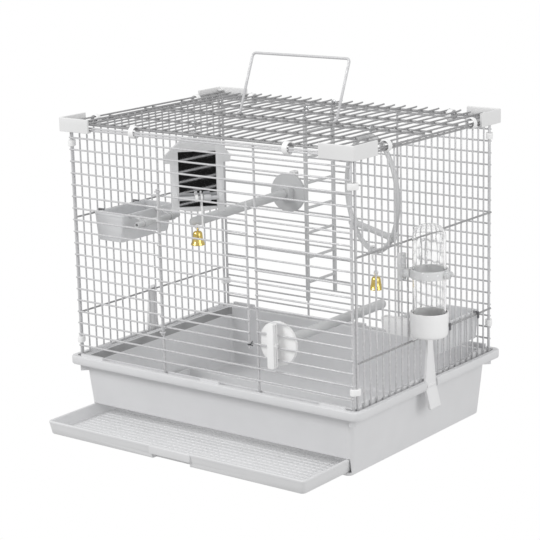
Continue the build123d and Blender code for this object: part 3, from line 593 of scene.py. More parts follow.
# ------------------------------------------------------------------ clips
def ring_clips():
    bm = bmesh.new()
    for x in (-84.5, 97.5):
        ring_lathe(bm, band_profile(4.8, 6.05, -2.9, 2.9, 0.55), 40, "x", (x, -116.9, 300.9))
    for x in (-123.5, 123.5):
        ring_lathe(bm, band_profile(4.8, 6.05, -2.9, 2.9, 0.55), 40, "x", (x, 116.9, 300.9))
    for sx, i in ((-1, 3), (-1, 18), (1, 4), (1, 18)):
        y = -SIDE_Y + STEP * (i + 0.5)
        ring_lathe(bm, band_profile(4.35, 5.5, -2.7, 2.7, 0.5), 40, "y", (sx * 169.35, y, 301.75))
    return bm


attach(make_object("ring_clips_round", ring_clips(), M_white), "cage", "white_plastic", "ring_clips")


def corner_clips():
    bm = bmesh.new()
    for sx, sy, z in ((-1, -1, 284.15), (-1, -1, 85.25), (1, -1, 272.45), (1, -1, 85.25),
                      (1, 1, 284.15), (1, 1, 96.95), (-1, 1, 284.15), (-1, 1, 96.95)):
        a = Vector((sx * EDGE_X, sy * FY_V))
        b = Vector((sx * SIDE_V, sy * SIDE_Y))
        d = (b - a).normalized()
        nrm = Vector((-d.y, d.x))
        poly = []
        for c, s in ((b, 1), (a, -1)):
            for i in range(9):
                t = -pi / 2 + pi * i / 8
                poly.append(c + d * (s * 3.3 * cos(t)) + nrm * (s * 3.3 * sin(t)))
        poly = [(p.x, p.y) for p in poly]
        slab(bm, poly, z - 3.0, z + 3.0, 0.6, lambda x, y, h: (x, y, h))
        mid = (a + b) / 2
    return bm


attach(make_object("corner_clips_round", corner_clips(), M_white), "cage", "white_plastic", "corner_clips")


# ------------------------------------------------------------------ brackets
def bracket(name, sx, sy):
    """Open L-shaped skirt over the corner: thin walls, snap lips under the rails, small web inside."""
    W, D, t = 175.0, 125.5, 2.0
    path = [((-W + 38.0 - k * 4.4, -D), (-W + 38.0 - k * 4.4, -D + t)) for k in range(8)]
    for k in range(9):
        a = radians(-90 - 90 * k / 8)
        path.append(((-W + 1.8 + 1.8 * cos(a), -D + 1.8 + 1.8 * sin(a)), (-W + 2.3 + 0.3 * cos(a), -D + 2.3 + 0.3 * sin(a))))
    path += [((-W, -D + 6.0 + k * 4.4286), (-W + t, -D + 6.0 + k * 4.4286)) for k in range(8)]
    sec = [(0.2, 296.4), (0.0, 296.75), (0.0, 300.0), (0.0, 304.5), (0.0, 309.3), (0.05, 309.65), (0.16, 309.9), (0.32, 310.0), (0.68, 310.0), (0.84, 309.9),
           (0.95, 309.65), (1.0, 309.3), (1.0, 304.5), (1.0, 300.0), (1.0, 296.75), (0.8, 296.4)]
    bm = bmesh.new()
    loft(bm, [[(o[0] + (i[0] - o[0]) * q, o[1] + (i[1] - o[1]) * q, z) for q, z in sec] for o, i in path])
    for x0, x1, y0, y1, z0, z1 in ((-W + 1.2, -W + 5.4, -D + 14, -D + 36.6, 296.5, 297.5), (-W + 14, -W + 37.6, -D + 1.2, -D + 5.9, 296.5, 297.5),
                                   (-W + 1.3, -W + 7.5, -D + 1.3, -D + 7.5, 306.4, 307.8)):
        slab(bm, round_poly([(x0, y0), (x1, y0), (x1, y1), (x0, y1)], 0.4, 4), z0, z1, 0.2, lambda x, y, h: (x, y, h), 2)
    ob = make_object(name, bm, M_bracket)
    ob.data.transform(Matrix.Diagonal((sx * -1.0, sy * -1.0, 1.0, 1.0)))
    finalize(ob.data)
    return ob


attach(bracket("bracket_fl", -1, -1), "cage", "white_plastic", "bracket_front_left")
attach(bracket("bracket_fr", 1, -1), "cage", "white_plastic", "bracket_front_right")
attach(bracket("bracket_bl", -1, 1), "cage", "white_plastic", "bracket_rear_left")
attach(bracket("bracket_br", 1, 1), "cage", "white_plastic", "bracket_rear_right")


# ------------------------------------------------------------------ base tub
def base_tub():
    bm = bmesh.new()
    n = 9
    L = [
        (155.6, 109.9, 5.6, 2.5), (157.3, 111.6, 6.0, 2.75), (158.2, 112.5, 6.2, 3.4), (158.5, 112.8, 6.2, 4.6),
        (159.9, 114.0, 6.3, 20.0), (161.6, 115.4, 6.5, 38.0), (163.0, 116.5, 6.8, 54.0), (163.1, 116.6, 6.8, 59.4),
        (163.35, 116.85, 6.8, 60.3), (164.0, 117.5, 6.8, 60.6),
        (174.7, 125.7, 8.0, 60.6), (175.5, 126.5, 8, 60.9), (175.9, 126.9, 8, 61.7),
        (176.0, 127.0, 8, 64.5), (176.0, 127.0, 8, 67.6), (175.8, 126.8, 7.8, 68.4), (175.3, 126.2, 7.5, 68.9), (174.9, 125.6, 7.2, 69.0),
        (171.35, 121.7, 5, 69.0), (171.15, 121.3, 4, 68.8), (171.1, 121.2, 4, 65.7), (170.9, 121.0, 4, 65.5),
        (166.5, 116.6, 3, 65.5), (166.3, 116.4, 3, 65.7), (166.25, 116.35, 3, 68.7), (165.9, 116.0, 3.5, 69.0),
        (162.2, 115.6, 5.4, 69.0), (161.2, 114.8, 5.2, 68.7), (160.8, 114.3, 5.0, 68.0), (160.7, 114.2, 4.8, 60),
        (160.7, 114.2, 4.8, 54.0), (159.3, 113.1, 4.6, 38.0), (157.6, 111.7, 4.4, 20.0), (156.3, 110.6, 4.2, 7.6),
        (155.6, 109.9, 4.0, 6.0), (154.4, 108.7, 3.6, 5.2), (153.0, 107.3, 3, 5.0),
    ]
    loft(bm, [rr(hx, hy, r, z, n=n) for hx, hy, r, z in L])
    ob = make_object("tub", bm, M_tub)
    add = []
    for sx in (-1, 1):
        for sy in (-1, 1):
            cx, cy = sx * 143, sy * 99
            add.append(cutter(cx - 10, cx + 10, cy - 8, cy + 8, 0.0, 3.0, 5))
            lug = cutter(-4.9, 4.9, -3.0, 3.0, 53.6, 61.2, 0.8)
            lug.data.transform(Matrix.Translation((sx * 0.1633, sy * 0.1168, 0)) @ Matrix.Rotation(radians(45 * sx * sy), 4, "Z"))
            add.append(lug)
            y0, y1 = (-106, -77) if sy < 0 else (82, 106)
            x0, x1 = sorted((sx * 163.0, sx * 166.1))
            add.append(cutter(x0, x1, y0, y1, 68.0, 72.0, 1.2))
        y0, y1 = sorted((sx * 121.3, sx * 124.4))
        for x0, x1 in ((-162, -133), (-8, 15), (132, 160)):
            add.append(cutter(x0, x1, y0, y1, 68.0, 71.8, 1.2))
    add.append(cutter(-18, 18, -12, 12, 0.0, 3.0, 5))
    boolean(ob, add, "UNION")
    cut = [cutter(-157.3, 157.3, -121, -106.5, 5.0, 19.2, 1.0, "y")]
    for sx in (-1, 1):
        x0, x1 = sorted((sx * 161.9, sx * 165.0))
        cut.append(cutter(x0, x1, -64, -22, 64.5, 71.0, 1.4))
        cut.append(cutter(x0, x1, 22, 70, 64.5, 71.0, 1.4))
        x0, x1 = sorted((sx * 166.4, sx * 180))
        cut.append(cutter(x0, x1, -11.2, 7.2, 57.0, 75.0, 2.2, "x"))
    boolean(ob, cut, "DIFFERENCE")
    boss = []
    for sx in (-1, 1):
        for y0, y1 in ((-15.4, -11.2), (7.2, 11.4)):
            x0, x1 = sorted((sx * 171.0, sx * 175.6))
            boss.append(cutter(x0, x1, y0, y1, 61.1, 67.0, 1.6, "y"))
    boolean(ob, boss, "UNION")
    soften(ob, 0.32, 2, 42)
    # Painted shade: inner left wall faces between z 58 and 68.4 mm get the dark band, standing for the shade under the
    # rim.
    ob.data.materials.append(M_tub_painted_shade_band)
    for f in ob.data.polygons:
        c, nn = f.center / MM, f.normal
        if 58.0 < c.z < 68.4 and abs(nn.z) < 0.3 and -161.5 < c.x < -155 and nn.x > 0.4 and abs(c.y) < 115.2:
            f.material_index = 1
    return ob


attach(base_tub(), "cage", "tub_plastic", "base_tub")


# ------------------------------------------------------------------ slide tray
def slide_tray():
    yc, hy, hx = -73.5, 108.5, 156.2
    bm = bmesh.new()
    L = [
        (152.0, 104.3, 3.2, 5.3), (153.5, 105.8, 3.6, 5.5), (154.1, 106.4, 3.9, 6.2), (155.2, 107.5, 4.2, 12.0), (155.8, 108.1, 4.3, 16.2),
        (156.1, 108.4, 4.4, 16.5), (156.2, 108.5, 4.4, 17.3), (156.1, 108.4, 4.3, 18.2), (155.6, 107.9, 4.0, 18.7), (154.9, 107.2, 2.4, 18.8),
        (153.9, 106.2, 1.6, 18.8), (153.4, 105.7, 1.4, 18.5), (153.2, 105.5, 1.3, 17.8), (152.8, 105.1, 1.3, 12.5), (152.3, 104.6, 1.2, 8.6),
        (151.8, 104.1, 1.2, 7.6), (150.8, 103.1, 1, 7.15), (149.6, 101.9, 1, 7.1),
    ]
    loft(bm, [rr(a, b, r, z, 0, yc, n=8) for a, b, r, z in L])
    ob = make_object("tray", bm, M_tray)
    y0 = yc - hy
    fill = [cutter(-23.8, 25.8, y0 + 1.6, y0 + 9.4, 5.7, 11.9, 0.6)]
    boolean(ob, fill, "UNION")
    boolean(ob, [cutter(-22, 24, y0 - 4, y0 + 7.8, 2.0, 10.4, 0.8)], "DIFFERENCE")
    soften(ob, 0.35, 2, 42)
    # lip bar and ribbed floor
    bm = bmesh.new()
    poly = round_poly([(-24.0, y0 - 1.4), (26.0, y0 - 1.4), (26.0, y0 + 1.9), (-24.0, y0 + 1.9)], [1.2, 1.2, 0.3, 0.3], 5)
    slab(bm, poly, 10.6, 18.7, 0.9, lambda x, y, h: (x, y, h), 4)
    xs, pitch = [], 6.5
    nx, ny = 22, 15

    def cuts(nn):
        v = []
        for k in range(-nn, nn + 1):
            c = k * pitch
            v += [(c - 0.7, 0), (c - 0.35, 1), (c + 0.35, 1), (c + 0.7, 0)]
        return v

    cx, cy = cuts(nx), cuts(ny)
    cx = [(-148.5, 0)] + cx + [(148.5, 0)]
    cy = [(-100.2, 0)] + cy + [(100.2, 0)]
    grid = [[bm.verts.new((x, yc + y, 7.12 + (0.30 * hx_ if not hy_ else 0.5))) for (y, hy_) in cy] for (x, hx_) in cx]
    for i in range(len(cx) - 1):
        for j in range(len(cy) - 1):
            bm.faces.new((grid[i][j], grid[i + 1][j], grid[i + 1][j + 1], grid[i][j + 1]))
    low = {}
    rim = [(i, 0) for i in range(len(cx))] + [(len(cx) - 1, j) for j in range(1, len(cy))] + \
        [(i, len(cy) - 1) for i in range(len(cx) - 2, -1, -1)] + [(0, j) for j in range(len(cy) - 2, 0, -1)]
    lowv = [bm.verts.new((grid[i][j].co.x, grid[i][j].co.y, 6.4)) for i, j in rim]
    for a in range(len(rim)):
        b = (a + 1) % len(rim)
        bm.faces.new((grid[rim[a][0]][rim[a][1]], lowv[a], lowv[b], grid[rim[b][0]][rim[b][1]]))
    bm.faces.new(lowv)
    extra = make_object("tray_ribs", bm, M_tray, 25.0)
    return ob, extra


tray, tray_ribs = slide_tray()
attach(tray, "tray", "tray_plastic", "slide_tray")
attach(tray_ribs, "tray", "tray_plastic")


# ------------------------------------------------------------------ front door
def front_door():
    bm = bmesh.new()
    tube(bm, bow((-52.5, -123.4, 107.6), (-52.5, -123.4, 250.2), 0.06, 7), 1.1, 14)
    tube(bm, bow((53.3, -123.4, 110.4), (53.3, -123.4, 249.4), 0.08, 7), 1.1, 14)
    for k in range(5, 15):
        z = 290 - 11.7 * k
        tube(bm, bow((-53.8, -125.1, z), (54.6, -125.1, z), 0.12, 7), 0.9, 12)
        for x in (-52.5, 53.3):
            nugget(bm, (x, -124.2, z), "y", 1.3)
    for z in (249.6, 108.0):
        lathe(bm, [(0.6, -0.75), (1.4, -0.7), (1.75, -0.3), (1.75, 0.3), (1.4, 0.7), (0.6, 0.75)], 16, "z", (-52.5, -123.4, z))
    return bm


attach(make_object("door_wires", front_door(), M_wire), "door", "wire_paint", "front_door")


# ------------------------------------------------------------------ handle
def handle():
    ay, az = 8.0, ROOF_X
    t = radians(22.7)
    d = Vector((0, sin(t), cos(t)))

    def pt(x, s):
        return Vector((x, ay, az)) + d * s

    bm = bmesh.new()
    tube(bm, arc_path([pt(-55.2, 2.2), pt(-55.2, 64), pt(61.9, 64), pt(61.9, 2.2)], 3.8, 10), 1.35, 16)
    for x, s in ((-55.2, 1), (61.9, -1)):
        pts = []
        for k in range(27):
            a = t - radians(8) + radians(350) * k / 26
            pts.append((x + s * 0.25 * sin(radians(350) * k / 26 / 2), ay + 2.8 * sin(a), az + 2.8 * cos(a)))
        tube(bm, pts, 1.3, 12)
    return bm


attach(make_object("handle_wire", handle(), M_wire), "handle", "wire_paint", "carry_handle")


# ------------------------------------------------------------------ feeders
def feeder(name, side, x_at, y_at, z_at):
    """Open trough: tapered walls, rolled lip, two hooks over the level wire. side -1 hangs on the left wall."""
    L, W, H, zt = 77.0, 39.6, 28.5, 1.8
    cx, cy = W / 2, L / 2
    prof = [
        (cx - 2.2, (W - 9.0) / 2, (L - 7.4) / 2, 2.4, zt - H), (cx - 2.2, (W - 7.2) / 2, (L - 5.4) / 2, 3.2, zt - H + 0.25),
        (cx - 2.2, (W - 6.4) / 2, (L - 4.6) / 2, 3.6, zt - H + 1.2), (cx - 1.0, (W - 3.4) / 2, (L - 2.6) / 2, 3.2, zt - 15.0),
        (cx - 0.1, (W - 1.0) / 2, (L - 0.9) / 2, 2.9, zt - 2.6), (cx, (W - 0.5) / 2, (L - 0.5) / 2, 3.0, zt - 2.35),
        (cx, W / 2, L / 2, 3.0, zt - 1.9), (cx, W / 2, L / 2, 3.0, zt - 0.6), (cx, W / 2 - 0.2, L / 2 - 0.2, 2.9, zt - 0.15),
        (cx, W / 2 - 0.6, L / 2 - 0.6, 2.6, zt), (cx, W / 2 - 1.6, L / 2 - 1.6, 1.7, zt), (cx, W / 2 - 1.95, L / 2 - 1.95, 1.5, zt - 0.2),
        (cx, W / 2 - 2.1, L / 2 - 2.1, 1.4, zt - 0.7), (cx, W / 2 - 2.1, L / 2 - 2.1, 1.4, zt - 2.4),
        (cx - 1.1, W / 2 - 3.4, L / 2 - 3.0, 1.8, zt - 15.0), (cx - 2.2, (W - 9.8) / 2, (L - 8.0) / 2, 2.2, zt - H + 3.0),
        (cx - 2.2, (W - 10.6) / 2, (L - 8.8) / 2, 1.8, zt - H + 2.1), (cx - 2.2, (W - 12.4) / 2, (L - 10.6) / 2, 1.2, zt - H + 1.8),
    ]
    bm = bmesh.new()
    loft(bm, [rr(hx, hy, r, z, ccx, cy, n=8) for ccx, hx, hy, r, z in prof])
    ob = make_object(name, bm, M_feeder)
    hb = bmesh.new()
    for y in (13.43, 65.47):
        strip = round_poly([(-6.5, -4.0), (-4.9, -4.0), (-4.9, 1.4), (0.3, 1.4), (0.3, -1.0), (2.0, -1.0), (2.0, 3.0), (-6.5, 3.0)],
                           [0.6, 0.6, 0.3, 0.3, 0.2, 0.2, 0.5, 1.2], 5)
        slab(hb, [(a, -b) for a, b in strip][::-1], y - 1.1, y + 1.1, 0.25, lambda a, b, h: (a, h, -b), 2)
    hk = make_object(name + "_hooks", hb, M_hook)
    for o in (ob, hk):
        o.data.transform(Matrix.Translation((x_at * MM, y_at * MM, z_at * MM)) @ Matrix.Diagonal((-side * 1.0, 1, 1, 1)))
        finalize(o.data)
    return ob, hk


def feeder_bar(name, side, x_at, y_at, z_at):
    """Hollow bar on two bent arms with clip rings."""
    W, zc = 39.6, -5.0
    tx = W + 19.4
    bm = bmesh.new()
    ring_lathe(bm, band_profile(1.5, 2.9, -2.5, 60.5, 0.35), 32, "y", (tx, 0, zc))
    for y in (10.5, 50.5):
        tube(bm, arc_path([(W - 0.6, y, 0.0), (W + 6.5, y, 0.0), (W + 17.4, y, -4.7)], 5.0, 8), 1.5, 14)
        ring_lathe(bm, band_profile(2.86, 4.1, y - 3.0, y + 3.0, 0.45), 32, "y", (tx, 0, zc))
        lathe(bm, [(1.5, 0.0), (2.3, 0.1), (2.5, 0.4), (2.5, 1.0), (2.2, 1.3), (1.5, 1.4)], 20, "x", (W - 0.2, y, 0.0))
    ob = make_object(name, bm, M_perch)
    ob.data.transform(Matrix.Translation((x_at * MM, y_at * MM, z_at * MM)) @ Matrix.Diagonal((-side * 1.0, 1, 1, 1)))
    finalize(ob.data)
    return ob


PERCH_LEN, DISC_R = 174.0, 21.0
FY_L, FY_R = -SIDE_Y + STEP * 3.5 - 13.43, -SIDE_Y + STEP * 14.5 - 13.43
for tag, fs, fy, fz in (("feeder_left", -1, FY_L, 209.0), ("feeder_right", 1, FY_R, 112.0)):
    cup_ob, hook_ob = feeder(tag + "_trough", fs, 165.9 * fs, fy, fz)
    attach(cup_ob, tag, "grey_plastic", tag)
    attach(hook_ob, tag, "dark_metal")
attach(feeder_bar("feeder_left_bar", -1, -165.9, FY_L, 209.0), "feeder_left", "grey_plastic", "feeder_left_perch")
attach(feeder_bar("feeder_right_bar", 1, 165.9, FY_R, 112.0), "feeder_right", "grey_plastic", "feeder_right_perch")


# ------------------------------------------------------------------ drinker
DX, DY = 188.9, -27.5


def drinker_tube():
    bm = bmesh.new()
    R, t, z0, z1 = 15.5, 1.2, 127.3, 225.6
    H = R * 0.72
    zb = z1 - H

    def flute(a, h):
        k = min(1.0, max(0.0, (h - 190.0) / 6.0)) * min(1.0, max(0.0, (zb + 1.0 - h) / 6.0))
        return -0.28 * k * (0.5 + 0.5 * cos(14 * a)) + 0.05 * sin(2 * a + 0.7)

    out = [(R - 0.35, z0), (R - 0.05, z0 + 0.25), (R, z0 + 0.7)]
    out += [(R, z0 + 6.0 + (zb - z0 - 6.0) * k / 26) for k in range(27)]
    dome = []
    for k in range(1, 13):
        a = pi / 2 * k / 12
        dome.append((cos(a) ** 0.72, sin(a) ** 1.08))
    out += [(R * c, zb + H * h) for c, h in dome[:-1]] + [(0.02, z1)]
    inn = [(0.02, z1 - t)] + [((R - t) * c, zb + (H - t) * h) for c, h in reversed(dome[:-1])]
    inn += [(R - t, zb - (zb - z0 - 2.0) * k / 20) for k in range(21)] + [(R - t, z0 + 0.6), (R - t + 0.1, z0 + 0.15), (R - t + 0.35, z0)]
    loops = []
    n = 84
    prof = out + inn
    for i, (r, h) in enumerate(prof + [prof[0]]):
        lp = []
        for k in range(n):
            a = 2 * pi * k / n
            q = r + (flute(a, h) if (i < len(out) and r > R - 0.5) or i == len(prof) else 0.0)
            q = max(q, 0.02)
            lp.append((DX + q * cos(a), DY + q * sin(a), h))
        loops.append(lp)
    loft(bm, loops, False, False)
    return make_object("drinker_bottle", bm, M_clear, 40.0)


attach(drinker_tube(), "drinker_tube", "clear_plastic", "drinker_tube")


def drinker_cup():
    bm = bmesh.new()
    prof = [(13.2, 119.8), (14.6, 120.0), (15.9, 120.7), (16.6, 121.6), (17.0, 122.9), (17.25, 127.0), (17.55, 135.0), (17.85, 142.6), (17.75, 143.2),
            (17.4, 143.5), (16.75, 143.5), (16.45, 143.3), (16.35, 142.8), (16.1, 134.0), (15.75, 122.6), (15.2, 121.9), (14.4, 121.8)]
    lathe(bm, prof, 64, "z", (DX, DY, 0))
    ob = make_object("drinker_cup_round", bm, M_white)
    ty = -26.0
    bm = bmesh.new()
    side = round_poly([(143.6, 116.4), (180.0, 116.4), (180.0, 131.8), (137.0, 131.8), (137.0, 127.0)], [4, 0.1, 0.1, 0.8, 3.0], 6)
    loft(bm, [[(x, ty + 4.0, z) for x, z in side], [(x, ty - 4.0, z) for x, z in side]])
    bmesh.ops.recalc_face_normals(bm, faces=bm.faces)
    tr = make_object("tr", bm, M_white)
    add = [tr, cutter(171.0, 172.6, ty - 3.0, ty + 3.0, 113.4, 121.0)]
    for a in (90, 210, 330):
        cx, cy = DX + 14.9 * cos(radians(a)), DY + 14.9 * sin(radians(a))
        add.append(cutter(cx - 1.1, cx + 1.1, cy - 1.1, cy + 1.1, 121.4, 126.3, 0.8))
    boolean(ob, add, "UNION")
    bm = bmesh.new()
    side = round_poly([(145.2, 122.0), (174.5, 122.0), (174.5, 134.0), (138.6, 134.0), (138.6, 128.0)], [3, 0.1, 0.1, 0.1, 2.0], 6)
    loft(bm, [[(x, ty + 2.4, z) for x, z in side], [(x, ty - 2.4, z) for x, z in side]])
    bmesh.ops.recalc_face_normals(bm, faces=bm.faces)
    tc = make_object("tc", bm, M_white)
    boolean(ob, [tc], "DIFFERENCE")
    soften(ob, 0.3, 2, 48)
    return ob


attach(drinker_cup(), "cage", "white_plastic", "drinker_cup")


def drinker_holder():
    bm = bmesh.new()
    ring_lathe(bm, band_profile(15.85, 17.7, 175.8, 184.0, 0.5), 72, "z", (DX, DY, 0))
    ob = make_object("drinker_clamp", bm, M_collar)
    yv = -SIDE_Y + STEP * 7.5
    add = [cutter(DX + 16.3, DX + 22.3, DY - 2.6, DY + 2.6, 176.6, 183.2, 1.5), cutter(171.3, 174.6, yv - 3.6, DY + 3.0, 175.9, 183.9, 0.8)]
    boolean(ob, add, "UNION")
    bore = bmesh.new()
    lathe(bore, [(15.85, 170.0), (15.85, 190.0)], 72, "z", (DX, DY, 0))
    bmesh.ops.recalc_face_normals(bore, faces=bore.faces)
    boolean(ob, [cutter(DX + 10, DX + 30, DY - 0.6, DY + 0.6, 170, 190), make_object("bore", bore, M_collar)], "DIFFERENCE")
    add = [cutter(163.2, 166.7, yv - 4.4, yv + 4.4, 171.4, 197.4, 1.6, "x"), cutter(166.2, 172.0, yv - 3.6, yv + 3.6, 176.6, 183.2)]
    boolean(ob, add, "UNION")
    boolean(ob, [cutter(160, 170, yv - 2.2, yv + 2.2, 186.6, 195.2, 0.8, "x"), cutter(160, 170, yv - 1.6, yv + 1.6, 172.6, 175.4, 0.6, "x")], "DIFFERENCE")
    soften(ob, 0.25, 2, 48)
    return ob


attach(drinker_holder(), "cage", "grey_plastic", "drinker_holder")


# ------------------------------------------------------------------ mirror
MT = Matrix.Translation((-0.0585, -0.058, 0)) @ Matrix.Rotation(radians(43.0), 4, "Z")


def in_mirror(ob):
    ob.data.transform(MT)
    finalize(ob.data)
    return ob


def mirror_frame():
    out = [(-24.8, 216), (-18.6, 216), (-18.6, 219.5), (-10, 217.4), (0, 216.8), (10, 217.4), (20.0, 219.5), (20.0, 216),
           (26.4, 216), (26.4, 264.9), (33.2, 265.2), (33.8, 271.4), (20.5, 289.0), (-13.5, 289.0), (-30.3, 272.9), (-30.5, 265.2), (-24.8, 265.0)]
    poly = round_poly(out, [1.4, 0.6, 0.8, 0, 0, 0, 0.8, 0.6, 1.4, 0.5, 0.9, 1.6, 2.6, 2.6, 1.6, 0.9, 0.5], 5)
    bm = bmesh.new()
    slab(bm, [(x, -z) for x, z in poly][::-1], -2.4, 2.4, 0.55, lambda x, y, h: (x, h, -y), 3)
    ob = make_object("mirror_shell", bm, M_frame)
    boolean(ob, [cutter(-17.6, 19.4, -4, 4, 221.4, 276.3, 0.5, "y")], "DIFFERENCE")
    add = [cutter(-19, 21, 0.95, 2.35, 220.0, 277.8), cutter(-6.5, 6.5, -2.4, 2.4, 286.0, 295.4, 1.6, "y")]
    for u in (-21.6, 23.0):
        add.append(cutter(u - 2.2, u + 2.2, -11.6, -1.0, 228.4, 234.4, 1.0, "y"))
    boolean(ob, add, "UNION")
    pin = bmesh.new()
    lathe(pin, [(1.15, 289.0), (1.15, 300.0)], 20, "z")
    bmesh.ops.recalc_face_normals(pin, faces=pin.faces)
    boolean(ob, [cutter(-3.2, 3.2, -4, 4, 288.0, 292.2, 0.8, "y"), make_object("pin", pin, M_grey)], "DIFFERENCE")
    soften(ob, 0.3, 2, 48)
    return in_mirror(ob)


attach(mirror_frame(), "mirror", "grey_plastic", "mirror_frame")
gl = cutter(-17.5, 19.3, -0.7, 0.9, 221.5, 276.2)
gl.name = "mirror_pane"
gl.data.materials.append(M_mirror)
soften(gl, 0.15, 1, 40)
attach(in_mirror(gl), "mirror", "mirror_glass", "mirror_glass")

bm = bmesh.new()
lathe(bm, [(2.0, -19.4), (2.0, 20.8)], 28, "x", (0, -9.0, 231.4))
attach(in_mirror(make_object("mirror_rail", bm, M_grey)), "mirror", "grey_plastic", "mirror_bar")
bm = bmesh.new()
ring_lathe(bm, band_profile(2.05, 3.6, -2.4, 0.6, 0.7), 40, "x", (0, -9.0, 231.4))
attach(in_mirror(make_object("mirror_ring", bm, M_white)), "mirror_bar_ring", "white_plastic", "mirror_bar_ring")
bm = bmesh.new()
knob = [(2.05, 6.0), (2.7, 6.0), (3.2, 6.3), (3.4, 7.0), (3.3, 8.4), (3.3, 10.8), (3.4, 12.2), (3.2, 12.8), (2.7, 13.0), (2.05, 13.0)]
ring_lathe(bm, knob, 40, "x", (0, -9.0, 231.4))
attach(in_mirror(make_object("mirror_knob", bm, M_grey)), "mirror_bar_knob", "grey_plastic", "mirror_bar_knob")

R1 = 3.25
bm = bmesh.new()
tube(bm, arc_path([(4, -9 - R1, 229.4), (4, -9 - R1, 231.4 + R1), (4, -9 + R1, 231.4 + R1), (4, -9 + R1, 224.9), (4, -9, 219.9),
                   (4, -9, 202.9), (0.3, -9, 202.9)], [R1 - 0.02, R1 - 0.02, 2.5, 2.5, 2.4], 9), 0.9, 14)
eye = [(-1.2 + 2.0 * cos(a), -9, 202.9 + 2.0 * sin(a)) for a in [2 * pi * k / 28 for k in range(29)]]
tube(bm, eye, 0.7, 12, False)
attach(in_mirror(make_object("mirror_j_hook", bm, M_white)), "mirror", "white_plastic", "mirror_bell_hook")


def bell_meshes(tag, m, z_top, h, r):
    """Shell with its crown loop, and the clapper, both about the z axis; m places them."""
    zs = z_top - 3.6
    o = [(0.02, zs + 0.05), (r * 0.25, zs - 0.02), (r * 0.46, zs - 0.3), (r * 0.60, zs - h * 0.07), (r * 0.66, zs - h * 0.15), (r * 0.68, zs - h * 0.28),
         (r * 0.71, zs - h * 0.40), (r * 0.76, zs - h * 0.51), (r * 0.84, zs - h * 0.61), (r * 0.93, zs - h * 0.69), (r - 0.12, zs - h + 3.6 + 0.75),
         (r, zs - h + 3.6 + 0.4), (r - 0.02, zs - h + 3.6 + 0.1), (r - 0.2, zs - h + 3.6)]
    i = [(r - 0.6, zs - h + 3.6), (r - 0.85, zs - h + 3.9), (r * 0.86 - 0.9, zs - h * 0.66), (r * 0.76 - 0.9, zs - h * 0.52), (r * 0.70 - 0.8, zs - h * 0.38),
         (r * 0.64 - 0.8, zs - h * 0.17), (r * 0.36, zs - 1.3), (0.02, zs - 1.2)]
    bm = bmesh.new()
    lathe(bm, o + i, 48, "z", cap_a=False, cap_b=False)
    ring = [(1.55 * cos(a), 0, zs + 1.7 + 1.55 * sin(a)) for a in [2 * pi * k / 24 for k in range(25)]]
    tube(bm, ring, 0.55, 12, False)
    shell = make_object(tag + "_shell", bm, M_brass)
    bm = bmesh.new()
    tube(bm, [(0, 0, zs - 1.4), (0.15, 0, zs - h * 0.3), (0, 0, zs - h * 0.62)], 0.42, 10)
    nugget_profile = [(1.7 * sin(pi * k / 12), zs - h * 0.66 + 1.7 * cos(pi * k / 12)) for k in range(1, 12)]
    lathe(bm, nugget_profile, 24, "z")
    tongue = make_object(tag + "_tongue", bm, M_brass)
    for ob in (shell, tongue):
        ob.data.transform(m)
        finalize(ob.data)
    return shell, tongue


c43, s43 = cos(radians(43)), sin(radians(43))
bx, by = -58.5 - 1.2 * c43 + 9.0 * s43, -58.0 - 1.2 * s43 - 9.0 * c43
sh, to = bell_meshes("mirror_bell", Matrix.Translation((bx * MM, by * MM, 0)) @ Matrix.Rotation(radians(133), 4, "Z"), 202.6, 17.3, 7.0)
attach(sh, "mirror_bell", "bell_brass", "mirror_bell")
attach(to, "mirror_bell", "bell_brass", "mirror_bell_clapper")
sh, to = bell_meshes("swing_bell", Matrix.Translation((0.1143, -0.004, 0)) @ Matrix.Rotation(radians(90), 4, "Z"), 165.5, 16.0, 6.8)
attach(sh, "swing_bell", "bell_brass", "swing_bell")
attach(to, "swing_bell", "bell_brass", "swing_bell_clapper")


